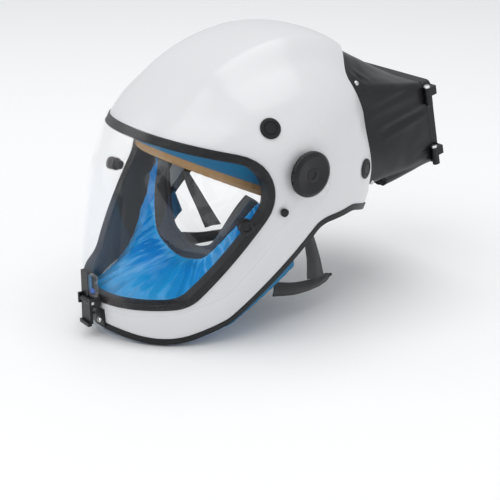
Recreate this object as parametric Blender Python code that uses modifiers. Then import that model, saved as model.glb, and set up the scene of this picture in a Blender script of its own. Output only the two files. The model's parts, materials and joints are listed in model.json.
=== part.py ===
"""Powered air respirator: a full-face helmet with a hinged visor and a filter and blower unit at the back.

The wearer looks along -Y, the wearer's left is +X and +Z is up. The origin is the midpoint of the
visor's hinge axis, which runs along X. Sizes are in millimetres and become metres where a mesh is made.
"""

import math

import bmesh
import bpy
import numpy as np
from mathutils import Matrix, Vector

MM = 0.001
GAP = 0.3  # left between pieces that touch

# Shell
SHELL_HALF_WIDTH = 118.5
SHELL_WALL = 3.0
# Mid-plane outline of the shell seen from the hinge axis: degrees up from straight ahead, and reach.
SHELL_OUTLINE = (
    (-75, 237), (-60, 249), (-46, 216), (-25, 162), (0, 132), (18, 115), (36, 102), (54, 100),
    (72, 101), (90, 106), (108, 117), (144, 143), (180, 147), (225, 155), (255, 190),
)
FACE_FULLNESS = 1.9  # 2 is an ellipse across the width, and more is squarer
DOME_FULLNESS = 2.4
CREST_HALF_WIDTH = 44.0  # the raised air channel along the crown
CREST_BLEND = 26.0
CREST_STEP = 12.0
SURFACE_STEPS_AROUND = 40
SURFACE_STEPS_ACROSS = 24

# Outlines in side view: (y, z, corner radius)
EYEPORT = ((-200, 52, 0), (-200, -133, 0), (-103, -121.4, 30), (-3, 10, 39))
VISOR_EDGE = (
    (-200, 62, 0), (-200, -142, 0), (-112, -126, 60), (-74, -109, 15), (-24, -50, 60),
    (27, -30, 27), (27.5, 25, 25.5), (-46, 20, 40),
)
BELOW_RIM = (
    (-220, -133, 0), (-220, -320, 0), (150, -320, 0), (150, -81, 0), (68, -52.5, 30),
    (28, -57, 30), (-62, -142, 40), (-118, -165, 70),
)
REAR_EDGE = ((110, 140), (97, 92), (83, 66), (96, 34), (99, -38), (106, -50), (106, -90))

# Edging, visor and hinge
GASKET_WIDTH = 8.0
GASKET_DEPTH = 8.0
GASKET_PROUD = 1.2
TRIM_HEIGHT = 6.0
VISOR_THICKNESS = 2.0
VISOR_GAP = 1.7  # between the shell and the visor
PIVOT_BOLT_RADIUS = 4.0
KNOB_RADIUS = 21.3
KNOB_THICKNESS = 6.5
POST_PLACE = (-61.0, -40.0)  # y, z of the posts that hold tear-off films
POST_RADIUS = 6.8
POST_HEIGHT = 9.0
VISOR_PLUG_PLACE = (-24.0, -33.0)
VISOR_PLUG_RADIUS = 3.8

# Harness
HARNESS_PLUG_RADIUS = 9.7
HARNESS_PLUG_PLACES = {"front": (-31.0, 42.5), "rear": (84.0, -15.0)}
HEADBAND_HALF_WIDTH = 78.0
HEADBAND_HALF_LENGTH = 85.0
HEADBAND_CENTRE_Y = -5.0
HEADBAND_FRONT_Z = 4.5  # lower edge at the forehead
HEADBAND_SLOPE = 0.46  # fall towards the nape
HEADBAND_HEIGHT = 26.0
HEADBAND_THICKNESS = 1.6
CROWN_STRAP_WIDTH = 20.0
CROWN_STRAP_TOP = 70.0
NECK_CLOTH_REAR = 0.0  # y where the neck cloth begins on both sides

# Filter unit
UNIT_CENTRE = (0.0, 196.0, 7.0)  # middle of its rear face
UNIT_TILT = 13.4  # degrees that the rear face looks up
UNIT_HALF_WIDTH = 76.0
UNIT_HALF_HEIGHT = 44.5
UNIT_CORNER = 9.0
UNIT_WALL = 2.0
UNIT_FLOOR_Z = -60.0
FRAME_FLANGE = 3.0
FRAME_DEPTH = 38.0
FRAME_WALL = 3.0
FRAME_CLEARANCE = 2.4
FILTER_DEPTH = 30.0
FILTER_WALL = 2.5
DOOR_THICKNESS = 6.0
HINGE_PIN_RADIUS = 1.5
HINGE_KNUCKLE_RADIUS = 3.2
HINGE_PLACES = {"upper": 31.0, "lower": -34.5}
HINGE_AXIS = (79.5, -5.0)  # x, y in the unit's own frame
KNUCKLE_LENGTH = 9.0
LOUVRE_ROWS = 7
LOUVRE_PITCH = 9.4

# Blower and controls
BLOWER_RADIUS = 35.0
BLOWER_DEPTH = 30.0
BLOWER_WALL = 2.0
BLOWER_LOCAL = (0.0, -60.0, 11.0)  # middle of the blower in the unit's own frame
INLET_RADIUS = 20.0
IMPELLER_RADIUS = 29.0
BLADE_COUNT = 11
BLADE_SWEEP = 0.5  # radians
SHAFT_RADIUS = 2.0
RUNNING_CLEARANCE = 0.3
BATTERY_SIZE = (26.0, 34.0, 62.0)
BUTTON_RADIUS = 8.0
BUTTON_TRAVEL = 1.5
SOCKET_RADIUS = 6.5
BUTTON_X = -18.0
SOCKET_X = -40.0
CONTROL_SHARE = 0.18  # how far back the controls sit along the cover's floor

# Chin latch
LATCH_HALF_WIDTH = 11.0
LATCH_TOP_Z = -99.0
LATCH_AXIS = (-163.0, -126.0)  # y, z
LATCH_LEVER_LENGTH = 22.0
KEEPER_TOP_Z = -134.0
KEEPER_BOTTOM_Z = -152.0

COLOURS = {
    "shell": ((0.86, 0.87, 0.88), 0.25, 0.0),
    "clear": ((0.86, 0.91, 0.95), 0.05, 0.0),
    "rubber": ((0.035, 0.035, 0.038), 0.6, 0.0),
    "plastic": ((0.045, 0.045, 0.05), 0.45, 0.0),
    "cloth": ((0.02, 0.24, 0.52), 0.4, 0.0),
    "webbing": ((0.03, 0.03, 0.035), 0.85, 0.0),
    "leather": ((0.38, 0.25, 0.13), 0.7, 0.0),
    "cover": ((0.02, 0.02, 0.022), 0.35, 0.0),
    "steel": ((0.6, 0.6, 0.62), 0.3, 1.0),
    "grey": ((0.45, 0.46, 0.48), 0.5, 0.0),
    "paper": ((0.88, 0.88, 0.85), 0.9, 0.0),
    "board": ((0.04, 0.22, 0.1), 0.6, 0.0),
}


# ---------------------------------------------------------------- the shell's surface


def ramp(t):
    t = min(max(t, 0.0), 1.0)
    return t * t * (3 - 2 * t)


def reach(angle):
    """Distance of the mid-plane outline from the hinge axis: a smooth curve through SHELL_OUTLINE."""
    angles = [a for a, _ in SHELL_OUTLINE]
    reaches = [r for _, r in SHELL_OUTLINE]
    count = len(angles)
    angle = (angle - angles[0]) % 360 + angles[0]
    i = max(k for k in range(count) if angles[k] <= angle)

    def at(k):
        return angles[k % count] + 360 * (k // count), reaches[k % count]

    def slope(k):
        (a0, r0), (a1, r1) = at(k - 1), at(k + 1)
        return (r1 - r0) / (a1 - a0)

    (a0, r0), (a1, r1) = at(i), at(i + 1)
    span = a1 - a0
    t = (angle - a0) / span
    return (
        (2 * t**3 - 3 * t**2 + 1) * r0
        + (t**3 - 2 * t**2 + t) * span * slope(i)
        + (3 * t**2 - 2 * t**3) * r1
        + (t**3 - t**2) * span * slope(i + 1)
    )


def fullness(angle):
    dome = ramp((angle + 5) / 45) * (1 - ramp((angle - 220) / 30))
    return FACE_FULLNESS + (DOME_FULLNESS - FACE_FULLNESS) * dome


def flank_step(angle):
    """How far the flanks lie below the crest: more towards the back, and nothing at the face and the nape."""
    deep = 2 + CREST_STEP * ramp((angle - 25) / 100)
    return deep * ramp((angle - 20) / 30) * (1 - ramp((angle - 165) / 30))


def lowering(angle, x, r):
    return flank_step(angle) * ramp((abs(x) - CREST_HALF_WIDTH) / CREST_BLEND) * ramp(r / 60)


def shell_point(angle, side, offset):
    """A point of the surface that lies offset outside the shell. side runs from -1 at the right to 1."""
    p = fullness(angle)
    x = (SHELL_HALF_WIDTH + offset) * math.copysign(abs(side) ** (2 / p), side)
    r = (reach(angle) + offset) * max(1 - side * side, 0) ** (1 / p)
    r = max(r - lowering(angle, x, r), 0)
    return x, -r * math.cos(math.radians(angle)), r * math.sin(math.radians(angle))


def view_angle(y, z):
    return (math.degrees(math.atan2(z, -y)) + 75) % 360 - 75


def surface_x(y, z, offset=0.0):
    """Half width of the offset surface where side view shows y and z."""
    angle, r, half = view_angle(y, z), math.hypot(y, z), SHELL_HALF_WIDTH + offset
    p = fullness(angle)
    x = half
    for _ in range(40):
        share = min((r + lowering(angle, x, r)) / (reach(angle) + offset), 1)
        x = (x + half * (1 - share**p) ** (1 / p)) / 2
    return x


def surface_normal(y, z, offset=0.0):
    """Outward normal on the left side."""
    d = 0.5
    slope_y = (surface_x(y + d, z, offset) - surface_x(y - d, z, offset)) / (2 * d)
    slope_z = (surface_x(y, z + d, offset) - surface_x(y, z - d, offset)) / (2 * d)
    return Vector((1, -slope_y, -slope_z)).normalized()


def front_y(z, offset=0.0):
    """Where the mid-plane outline of the offset surface stands at height z below the brow."""
    low, high = -75.0, 30.0
    for _ in range(40):
        middle = (low + high) / 2
        if (reach(middle) + offset) * math.sin(math.radians(middle)) < z:
            low = middle
        else:
            high = middle
    return -(reach(low) + offset) * math.cos(math.radians(low))


def rear_edge_y(z):
    """Where the shell ends at the back, at height z."""
    return float(np.interp(-z, [-z_ for _, z_ in REAR_EDGE], [y for y, _ in REAR_EDGE]))


# ---------------------------------------------------------------- outlines


def rounded(corners, steps=5):
    """The closed outline of corners (a, b, radius), each corner rounded by an arc."""
    points = []
    count = len(corners)
    for i, (a, b, radius) in enumerate(corners):
        here = np.array((a, b), float)
        back = np.array(corners[i - 1][:2], float) - here
        on = np.array(corners[(i + 1) % count][:2], float) - here
        back, on = back / np.linalg.norm(back), on / np.linalg.norm(on)
        if radius <= 0:
            points.append(here)
            continue
        half = math.acos(np.clip(back @ on, -1, 1)) / 2
        centre = here + (back + on) / np.linalg.norm(back + on) * radius / math.sin(half)
        start = here + back * radius / math.tan(half) - centre
        end = here + on * radius / math.tan(half) - centre
        turn = math.atan2(start[0] * end[1] - start[1] * end[0], start @ end)
        for k in range(steps + 1):
            t = turn * k / steps
            c, s = math.cos(t), math.sin(t)
            points.append(centre + (start[0] * c - start[1] * s, start[0] * s + start[1] * c))
    return [(float(a), float(b)) for a, b in points]


def grown(corners, distance):
    """The outline with every edge moved outwards by distance, and inwards if it is negative."""
    count = len(corners)
    points = [np.array(corner[:2], float) for corner in corners]
    area = sum(points[i - 1][0] * points[i][1] - points[i][0] * points[i - 1][1] for i in range(count))
    out = []
    for i in range(count):
        first = points[i] - points[i - 1]
        second = points[(i + 1) % count] - points[i]
        normals = []
        for edge in (first, second):
            edge = edge / np.linalg.norm(edge)
            normals.append(np.array((edge[1], -edge[0])) * math.copysign(1, area))
        corner = np.linalg.solve(np.array(normals), [n @ points[i] + distance for n in normals])
        convex = (first[0] * second[1] - first[1] * second[0]) * area > 0
        radius = corners[i][2]
        if radius > 0:
            radius = max(radius + (distance if convex else -distance), 1.0)
        out.append((corner[0], corner[1], radius))
    return out


def box_outline(a0, a1, b0, b1, radius=0.0):
    return ((a0, b0, radius), (a1, b0, radius), (a1, b1, radius), (a0, b1, radius))


# ---------------------------------------------------------------- Blender helpers

PARTS = bpy.data.collections.new("powered_air_respirator")
CUTTERS = bpy.data.collections.new("cutters")
MATERIALS = {}


def clear_scene():
    for obj in list(bpy.data.objects):
        bpy.data.objects.remove(obj)
    bpy.context.scene.collection.children.link(PARTS)
    bpy.context.scene.collection.children.link(CUTTERS)


def material(name):
    if name not in MATERIALS:
        colour, roughness, metallic = COLOURS[name]
        made = bpy.data.materials.new(name)
        made.use_nodes = True
        shader = made.node_tree.nodes["Principled BSDF"]
        shader.inputs["Base Color"].default_value = (*colour, 1)
        shader.inputs["Roughness"].default_value = roughness
        shader.inputs["Metallic"].default_value = metallic
        if name == "clear":
            shader.inputs["Transmission Weight"].default_value = 1.0
        MATERIALS[name] = made
    return MATERIALS[name]


def part(name, mesh, look, parent=None):
    """A named piece of the object."""
    mesh.name = name
    obj = bpy.data.objects.new(name, mesh)
    obj.data.materials.clear()
    obj.data.materials.append(material(look))
    obj.parent = parent
    PARTS.objects.link(obj)
    return obj


def cutter(mesh, parent=None):
    obj = bpy.data.objects.new("cutter", mesh)
    obj.parent = parent
    obj.hide_render = True
    obj.display_type = "WIRE"
    CUTTERS.objects.link(obj)
    return obj


def combine(obj, other, operation="DIFFERENCE"):
    """Cuts other from obj, or joins or intersects them."""
    modifier = obj.modifiers.new(operation.lower(), "BOOLEAN")
    modifier.operation = operation
    modifier.object = other
    return other


def mesh_from(bm):
    for vert in bm.verts:
        vert.co *= MM
    mesh = bpy.data.meshes.new("mesh")
    bm.to_mesh(mesh)
    bm.free()
    return mesh


def surface_solid(offset):
    """The whole closed surface at this offset, poles on the hinge axis."""
    bm = bmesh.new()
    around, across = SURFACE_STEPS_AROUND, SURFACE_STEPS_ACROSS
    bmesh.ops.create_uvsphere(bm, u_segments=around, v_segments=across, radius=1)
    for vert in bm.verts:
        angle = (math.degrees(math.atan2(vert.co.y, vert.co.x)) + 75) % 360 - 75
        vert.co = Vector(shell_point(angle, max(-1, min(1, vert.co.z)), offset))
    bmesh.ops.reverse_faces(bm, faces=bm.faces)  # the mapping mirrors the sphere
    return mesh_from(bm)


def outline_solid(points, thickness):
    """A flat plate of this outline, centred on its local XY plane."""
    curve = bpy.data.curves.new("outline", "CURVE")
    curve.dimensions = "2D"
    curve.fill_mode = "BOTH"
    curve.extrude = thickness / 2 * MM
    spline = curve.splines.new("POLY")
    spline.points.add(len(points) - 1)
    for point, (a, b) in zip(spline.points, points):
        point.co = (a * MM, b * MM, 0, 1)
    spline.use_cyclic_u = True
    guide = bpy.data.objects.new("outline", curve)
    bpy.context.scene.collection.objects.link(guide)
    evaluated = guide.evaluated_get(bpy.context.evaluated_depsgraph_get())
    mesh = bpy.data.meshes.new_from_object(evaluated)
    bpy.data.objects.remove(guide)
    bpy.data.curves.remove(curve)
    bm = bmesh.new()
    bm.from_mesh(mesh)
    bmesh.ops.remove_doubles(bm, verts=bm.verts, dist=1e-6)
    bmesh.ops.recalc_face_normals(bm, faces=bm.faces)
    bm.to_mesh(mesh)
    bm.free()
    return mesh


ALONG_X = Matrix(((0, 0, 1, 0), (1, 0, 0, 0), (0, 1, 0, 0), (0, 0, 0, 1)))  # plate's XY to the YZ plane
ALONG_Y = Matrix(((1, 0, 0, 0), (0, 0, -1, 0), (0, 1, 0, 0), (0, 0, 0, 1)))  # plate's XY to the XZ plane


def side_prism(points, x_low=-200.0, x_high=200.0):
    """A side-view outline made solid between two widths."""
    mesh = outline_solid(points, x_high - x_low)
    mesh.transform(Matrix.Translation(((x_low + x_high) / 2 * MM, 0, 0)) @ ALONG_X)
    return mesh


def back_prism(points, y_low, y_high):
    """An outline in X and Z made solid between two depths."""
    mesh = outline_solid(points, y_high - y_low)
    mesh.transform(Matrix.Translation((0, (y_low + y_high) / 2 * MM, 0)) @ ALONG_Y)
    return mesh


def box_mesh(low, high):
    bm = bmesh.new()
    bmesh.ops.create_cube(bm, size=1)
    centre = [(a + b) / 2 for a, b in zip(low, high)]
    bmesh.ops.scale(bm, vec=[b - a for a, b in zip(low, high)], verts=bm.verts)
    bmesh.ops.translate(bm, vec=centre, verts=bm.verts)
    return mesh_from(bm)


def cylinder_mesh(radius, low, high, segments=24):
    """A cylinder on its local Z axis between two heights."""
    bm = bmesh.new()
    bmesh.ops.create_cone(
        bm, cap_ends=True, segments=segments, radius1=radius, radius2=radius, depth=high - low
    )
    bmesh.ops.translate(bm, vec=(0, 0, (low + high) / 2), verts=bm.verts)
    return mesh_from(bm)


def soften(obj, width, segments=1):
    """Bevelled edges."""
    bevel = obj.modifiers.new("soft_edges", "BEVEL")
    bevel.width = width * MM
    bevel.segments = segments
    bevel.limit_method = "ANGLE"
    return obj


def profile_mesh(profile):
    """A profile (radius, height) as edges, from the top on the axis round its outer side to the bottom."""
    bm = bmesh.new()
    verts = [bm.verts.new((radius * MM, 0, height * MM)) for radius, height in profile]
    for first, second in zip(verts, verts[1:]):
        bm.edges.new((first, second))
    mesh = bpy.data.meshes.new("profile")
    bm.to_mesh(mesh)
    bm.free()
    return mesh


def spin(obj, segments):
    screw = obj.modifiers.new("turn", "SCREW")
    screw.axis = "Z"
    screw.angle = math.tau
    screw.steps = screw.render_steps = segments
    screw.use_merge_vertices = True
    screw.merge_threshold = 1e-5
    screw.use_smooth_shade = False
    return obj


def turned_part(name, profile, look, place=(0, 0, 0), along=(0, 0, 1), parent=None, segments=28):
    """A turned piece whose local Z axis points along the given direction."""
    obj = part(name, profile_mesh(profile), look, parent)
    aim(obj, place, along)
    return spin(obj, segments)


def aim(obj, place, along):
    obj.location = Vector(place) * MM
    obj.rotation_euler = Vector(along).to_track_quat("Z", "Y").to_euler()
    return obj


def sheet(name, place, rows, look, thickness, columns=1, closed=False, parent=None, side=0.0):
    """A sheet laid by place(u, v) with u and v from 0 to 1, given its thickness by Solidify."""
    bm = bmesh.new()
    bmesh.ops.create_grid(bm, x_segments=rows, y_segments=columns, size=1)
    for vert in bm.verts:
        vert.co = Vector(place((vert.co.x + 1) / 2, (vert.co.y + 1) / 2)) * MM
    if closed:
        bmesh.ops.remove_doubles(bm, verts=bm.verts, dist=1e-5)
    mesh = bpy.data.meshes.new(name)
    bm.to_mesh(mesh)
    bm.free()
    obj = part(name, mesh, look, parent)
    solid = obj.modifiers.new("thickness", "SOLIDIFY")
    solid.thickness = thickness * MM
    solid.offset = side
    solid.use_even_offset = True
    return obj


def smooth_path(points, t):
    """A point on the smooth curve through points, t from 0 to 1."""
    points = [Vector(p) for p in points]
    spans = len(points) - 1
    i = min(int(t * spans), spans - 1)
    u = t * spans - i
    p1, p2 = points[i], points[i + 1]
    p0 = points[i - 1] if i else p1 * 2 - p2
    p3 = points[i + 2] if i + 2 <= spans else p2 * 2 - p1
    bend = (2 * p0 - 5 * p1 + 4 * p2 - p3) * u**2
    return 0.5 * (2 * p1 + (p2 - p0) * u + bend + (3 * p1 - p0 - 3 * p2 + p3) * u**3)


# ---------------------------------------------------------------- shell, edging and visor


def shell_layer(name, look, low, high, keep, remove=()):
    """The part of the shell-shaped layer between two offsets that the side outline keep holds."""
    obj = part(name, surface_solid(high), look)
    combine(obj, cutter(surface_solid(low)))
    combine(obj, cutter(side_prism(keep)), "INTERSECT")
    for outline in remove:
        combine(obj, cutter(side_prism(outline)))
    return obj


def rear_region(distance=0.0):
    points = [(y - distance, z) for y, z in REAR_EDGE]
    return points + [(320, REAR_EDGE[-1][1]), (320, REAR_EDGE[0][1])]


def drill(obj, y, z, radius, side=1, low=-14.0, high=12.0, segments=24):
    """A round hole square to the surface at (y, z) in side view, on the left if side is 1."""
    normal = surface_normal(y, z)
    centre = Vector((surface_x(y, z), y, z))
    centre.x *= side
    normal.x *= side
    combine(obj, aim(cutter(cylinder_mesh(radius, low, high, segments)), centre, normal))


def build_shell():
    shell = part("shell", surface_solid(0), "shell")
    combine(shell, cutter(surface_solid(-SHELL_WALL)))
    combine(shell, cutter(side_prism(rounded(EYEPORT))))
    combine(shell, cutter(side_prism(rounded(grown(BELOW_RIM, TRIM_HEIGHT + GAP)))))
    combine(shell, cutter(side_prism(rear_region())))
    for side in (1, -1):
        drill(shell, 0, 0, PIVOT_BOLT_RADIUS + GAP, side)
        for y, z in HARNESS_PLUG_PLACES.values():
            drill(shell, y, z, HARNESS_PLUG_RADIUS - 2, side, segments=20)


def build_edging():
    inner = rounded(grown(EYEPORT, -GASKET_WIDTH))
    keep = rounded(grown(EYEPORT, -GAP))
    shell_layer("eyeport_gasket", "rubber", -GASKET_DEPTH, GASKET_PROUD, keep, [inner])
    trim_keep = rounded(grown(BELOW_RIM, TRIM_HEIGHT))
    removed = [rounded(BELOW_RIM), rear_region()]
    shell_layer("bottom_trim", "rubber", -SHELL_WALL - 1.5, 1.0, trim_keep, removed)


def build_visor():
    visor = shell_layer("visor", "clear", VISOR_GAP, VISOR_GAP + VISOR_THICKNESS, rounded(VISOR_EDGE))
    for side in (1, -1):
        drill(visor, 0, 0, PIVOT_BOLT_RADIUS + 1, side)
        drill(visor, *POST_PLACE, 2.5 + GAP, side, segments=16)
        drill(visor, *VISOR_PLUG_PLACE, VISOR_PLUG_RADIUS + GAP, side, segments=16)


def build_pivots():
    inner_face = -SHELL_WALL - GAP - 0.5
    outer = VISOR_GAP + VISOR_THICKNESS
    for word, side in (("left", 1), ("right", -1)):
        pole = (SHELL_HALF_WIDTH * side, 0, 0)
        along = (side, 0, 0)
        bolt_end = outer + GAP + KNOB_THICKNESS - 2
        r = PIVOT_BOLT_RADIUS
        bolt = [
            (0, bolt_end), (r - 0.4, bolt_end), (r, bolt_end - 0.8), (r, inner_face),
            (r + 5, inner_face), (r + 5, inner_face - 3.5), (0, inner_face - 3.5),
        ]
        turned_part(f"pivot_bolt_{word}", bolt, "steel", pole, along, segments=20)
        inner, outside = r + GAP, r + 5
        bottom, lid = GAP + 0.1, VISOR_GAP - GAP - 0.3
        washer = [(inner, lid), (outside, lid), (outside, bottom), (inner, bottom), (inner, lid)]
        turned_part(f"friction_washer_{word}", washer, "plastic", pole, along, segments=20)
        base = outer + GAP
        top = base + KNOB_THICKNESS
        R = KNOB_RADIUS
        knob = [
            (0, top - 0.6), (4.5, top - 0.6), (5.2, top), (R - 4, top - 0.4), (R - 1.2, top - 1.4),
            (R, top - 3), (R, base), (r + GAP, base), (r + GAP, bolt_end + GAP), (0, bolt_end + GAP),
        ]
        turned_part(f"pivot_knob_{word}", knob, "plastic", pole, along, segments=40)


def build_visor_fittings():
    outer = VISOR_GAP + VISOR_THICKNESS
    y, z = POST_PLACE
    for word, side in (("left", 1), ("right", -1)):
        normal = surface_normal(y, z)
        centre = Vector((surface_x(y, z) * side, y, z))
        normal.x *= side
        base, r = outer + GAP + 0.4, POST_RADIUS
        low = VISOR_GAP - GAP - 0.4
        post = [
            (0, base + POST_HEIGHT), (r - 1.5, base + POST_HEIGHT), (r, base + POST_HEIGHT - 1.5), (r, base),
            (2.5, base), (2.5, low), (4.6, low), (4.6, low - 2), (0, low - 2),
        ]
        turned_part(f"film_post_{word}", post, "plastic", centre, normal, segments=16)
        place = VISOR_PLUG_PLACE
        normal = surface_normal(*place)
        centre = Vector((surface_x(*place) * side, *place))
        normal.x *= side
        r = VISOR_PLUG_RADIUS
        plug = [(0, outer + 1.2), (r - 0.8, outer + 1.2), (r, outer + 0.4), (r, VISOR_GAP), (0, VISOR_GAP)]
        turned_part(f"visor_plug_{word}", plug, "rubber", centre, normal, segments=16)


def build_latch():
    outer = VISOR_GAP + VISOR_THICKNESS + GAP
    w = LATCH_HALF_WIDTH
    axis_y, axis_z = LATCH_AXIS
    face = min(front_y(z, outer) for z in range(-125, -95, 2)) - 0.1

    def front_block(name, look, x_low, x_high, z_low, z_high, low, high):
        block = part(name, surface_solid(high), look)
        combine(block, cutter(surface_solid(low)))
        combine(block, cutter(box_mesh((x_low, -220, z_low), (x_high, -100, z_high))), "INTERSECT")
        return block

    body = front_block("latch_body", "plastic", -w, w, axis_z - 5, axis_z + 5, outer, outer + 2.5)
    upper = cutter(box_mesh((-w, face - 6, axis_z + 4), (1.5, face, LATCH_TOP_Z)))
    combine(body, upper, "UNION")
    for side in (1, -1):
        ear = sorted((side * w, side * (w - 2.5)))
        ear_box = box_mesh((ear[0], axis_y - 3.5, axis_z - 5), (ear[1], face, axis_z + 5))
        combine(body, cutter(ear_box), "UNION")
    hole = cutter(cylinder_mesh(HINGE_PIN_RADIUS + 0.3, -30, 30, 16))
    combine(body, aim(hole, (0, axis_y, axis_z), (1, 0, 0)))
    pin = [(0, w), (HINGE_PIN_RADIUS, w), (HINGE_PIN_RADIUS, -w), (0, -w)]
    turned_part("latch_pin", pin, "steel", (0, axis_y, axis_z), (1, 0, 0), segments=16)

    lens = part("signal_lens", box_mesh((2.5, face - 6.5, axis_z + 5 + GAP), (w, face, LATCH_TOP_Z)), "clear")
    soften(lens, 1.2)

    half = w - 2.5 - 0.5
    lever_end = axis_z - LATCH_LEVER_LENGTH
    lever_box = box_mesh((-half, axis_y - 1.5, lever_end), (half, axis_y + 1.5, axis_z - 2))
    lever = part("latch_lever", lever_box, "plastic")
    lug = aim(cutter(cylinder_mesh(3.2, -half, half, 20)), (0, axis_y, axis_z), (1, 0, 0))
    combine(lever, lug, "UNION")
    grip = cutter(box_mesh((-half, axis_y - 4, lever_end - 2), (half, axis_y, lever_end + 1.5)))
    combine(lever, grip, "UNION")
    hole = cutter(cylinder_mesh(HINGE_PIN_RADIUS + 0.3, -30, 30, 16))
    combine(lever, aim(hole, (0, axis_y, axis_z), (1, 0, 0)))
    move_origin(lever, (0, axis_y, axis_z))

    under = GASKET_PROUD + GAP
    across = (-w - 1.5, w + 1.5)
    keeper = front_block("latch_keeper", "plastic", *across, KEEPER_BOTTOM_Z, KEEPER_TOP_Z, under, under + 2)
    for word, side in (("left", 1), ("right", -1)):
        x, z = side * (w - 2.5), KEEPER_BOTTOM_Z + 7
        face = front_y(z, under + 2)
        hole = cutter(cylinder_mesh(1.5 + GAP, -20, 20, 12))
        combine(keeper, aim(hole, (x, face, z), (0, -1, 0)))
        hole = cutter(cylinder_mesh(1.5 + GAP, -20, 20, 12))
        combine(bpy.data.objects["shell"], aim(hole, (x, face, z), (0, -1, 0)))
        rivet = [(0, 2.4), (1.8, 2.0), (2.8, 0.6), (2.8, 0.35), (1.5, 0.35), (1.5, -8), (0, -8)]
        turned_part(f"keeper_rivet_{word}", rivet, "steel", (x, face, z), (0, -1, 0), segments=12)


# ---------------------------------------------------------------- harness and soft goods


def band_point(turn, outward, height):
    """A point of the headband ring: turn in degrees from the forehead leftwards, height above its edge."""
    t = math.radians(turn)
    x = (HEADBAND_HALF_WIDTH + outward) * math.sin(t)
    y = HEADBAND_CENTRE_Y - (HEADBAND_HALF_LENGTH + outward) * math.cos(t)
    centre_y = HEADBAND_CENTRE_Y - HEADBAND_HALF_LENGTH * math.cos(t)
    behind = centre_y - HEADBAND_CENTRE_Y + HEADBAND_HALF_LENGTH
    return x, y, HEADBAND_FRONT_Z - HEADBAND_SLOPE * behind + height


def build_harness():
    h = HEADBAND_HEIGHT

    def ring(u, v):
        return band_point(360 * u, 0, 3 + (h - 3) * v)

    sheet("headband", ring, 36, "plastic", HEADBAND_THICKNESS, closed=True)
    fold = ((2.6, h - 2), (2.6, 2), (0, -1), (-3.2, 2), (-3.2, h - 2))  # the sweatband wraps the lower edge

    def sweat(u, v):
        outward = np.interp(v * 4, range(5), [a for a, _ in fold])
        height = np.interp(v * 4, range(5), [b for _, b in fold])
        return band_point(-100 + 200 * u, float(outward), float(height))

    sheet("sweatband", sweat, 22, "leather", 1.6, columns=4)

    for name, turns, lift in (("crown_strap_front", (30, 210), 0.0), ("crown_strap_side", (-30, 150), 6.0)):
        ends = [Vector(band_point(turn, 5, h - 4)) for turn in turns]
        top = Vector((0, HEADBAND_CENTRE_Y, CROWN_STRAP_TOP + lift))
        across = (ends[1] - ends[0]).cross(Vector((0, 0, 1))).normalized() * CROWN_STRAP_WIDTH / 2

        over = [Vector(band_point(turn, 4.4, h + 4)) for turn in turns]
        shoulders = [Vector((end.x * 0.62, end.y * 0.62, end.z + 0.68 * (top.z - end.z))) for end in ends]
        path = [ends[0], over[0], shoulders[0], top, shoulders[1], over[1], ends[1]]

        def strap(u, v, path=path, across=across):
            return smooth_path(path, u) + across * (2 * v - 1)

        sheet(name, strap, 24, "webbing", 1.4)

    back = Vector(band_point(180, 0, h / 2))
    housing_box = box_mesh((-34, back.y + 1.4, back.z - 12), (34, back.y + 10, back.z + 12))
    housing = part("ratchet_housing", housing_box, "plastic")
    soften(housing, 3, 2)
    knob_base = back.y + 10 + GAP
    knob = [(0, 10), (12, 10), (14, 8.5), (14, 0), (0, 0)]
    turned_part("ratchet_knob", knob, "plastic", (0, knob_base, back.z), (0, 1, 0), segments=24)

    for row, (y, z) in HARNESS_PLUG_PLACES.items():
        for word, side in (("left", 1), ("right", -1)):
            normal = surface_normal(y, z)
            centre = Vector((surface_x(y, z) * side, y, z))
            normal.x *= side
            r = HARNESS_PLUG_RADIUS
            stem = r - 2 - GAP
            end_z, rest = -SHELL_WALL - 3, GAP + 0.2
            plug = [(0, 1.1), (r - 2, 1.3), (r, 0.7), (r, rest), (stem, rest), (stem, end_z), (0, end_z)]
            turned_part(f"harness_plug_{row}_{word}", plug, "rubber", centre, normal, segments=20)
            start = centre - normal * (SHELL_WALL + 4.2)
            turn = 62 if row == "front" else 128
            end = Vector(band_point(turn * side, 6.6, h - 5))
            level = (end - start).cross(normal).normalized() * 6

            def hanger(u, v, start=start, end=end, level=level, normal=normal):
                sag = math.sin(math.pi * u) * 4
                return start.lerp(end, u) - normal * sag + level * (2 * v - 1)

            sheet(f"harness_hanger_{row}_{word}", hanger, 6, "plastic", 1.6)


# Middle line of the face band, from the left temple round the chin to the middle
FACE_OPENING_HALF = (
    (76, -29, -31), (69, -33, -41), (60, -40, -56), (40, -50, -86), (20, -51, -97), (0, -51, -101),
)
FACE_OPENING = FACE_OPENING_HALF + tuple((-x, y, z) for x, y, z in FACE_OPENING_HALF[-2::-1])
FACE_BAND_WIDTH = 20.0
# y, z on the shell's inner wall, from the temple to the chin
SEAL_ROOT = ((-12, -42), (-34, -82), (-45, -104), (-66, -124), (-92, -136), (-122, -138))


def band_width(u):
    """Direction across the face band: outwards at the temples, forwards and down at the chin."""
    side = math.copysign(1, 0.5 - u)
    chin = ramp(1 - abs(2 * u - 1))
    return Vector((side * (1 - chin), -0.9 * chin, -0.1 - 0.35 * chin)).normalized()


def seal_root(t):
    """Outer edge of the face seal from the left temple (0) round the chin (0.5) to the right temple (1)."""
    side = 1 if t < 0.5 else -1
    inset = SHELL_WALL + 2.4
    left = [Vector((surface_x(y, z, -inset), y, z)) for y, z in SEAL_ROOT]
    z = SEAL_ROOT[-1][1]
    left.append(Vector((0, front_y(z, -GASKET_DEPTH - 1.5), z)))
    point = smooth_path(left, min(t, 1 - t) * 2)
    point.x *= side
    return point


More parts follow.
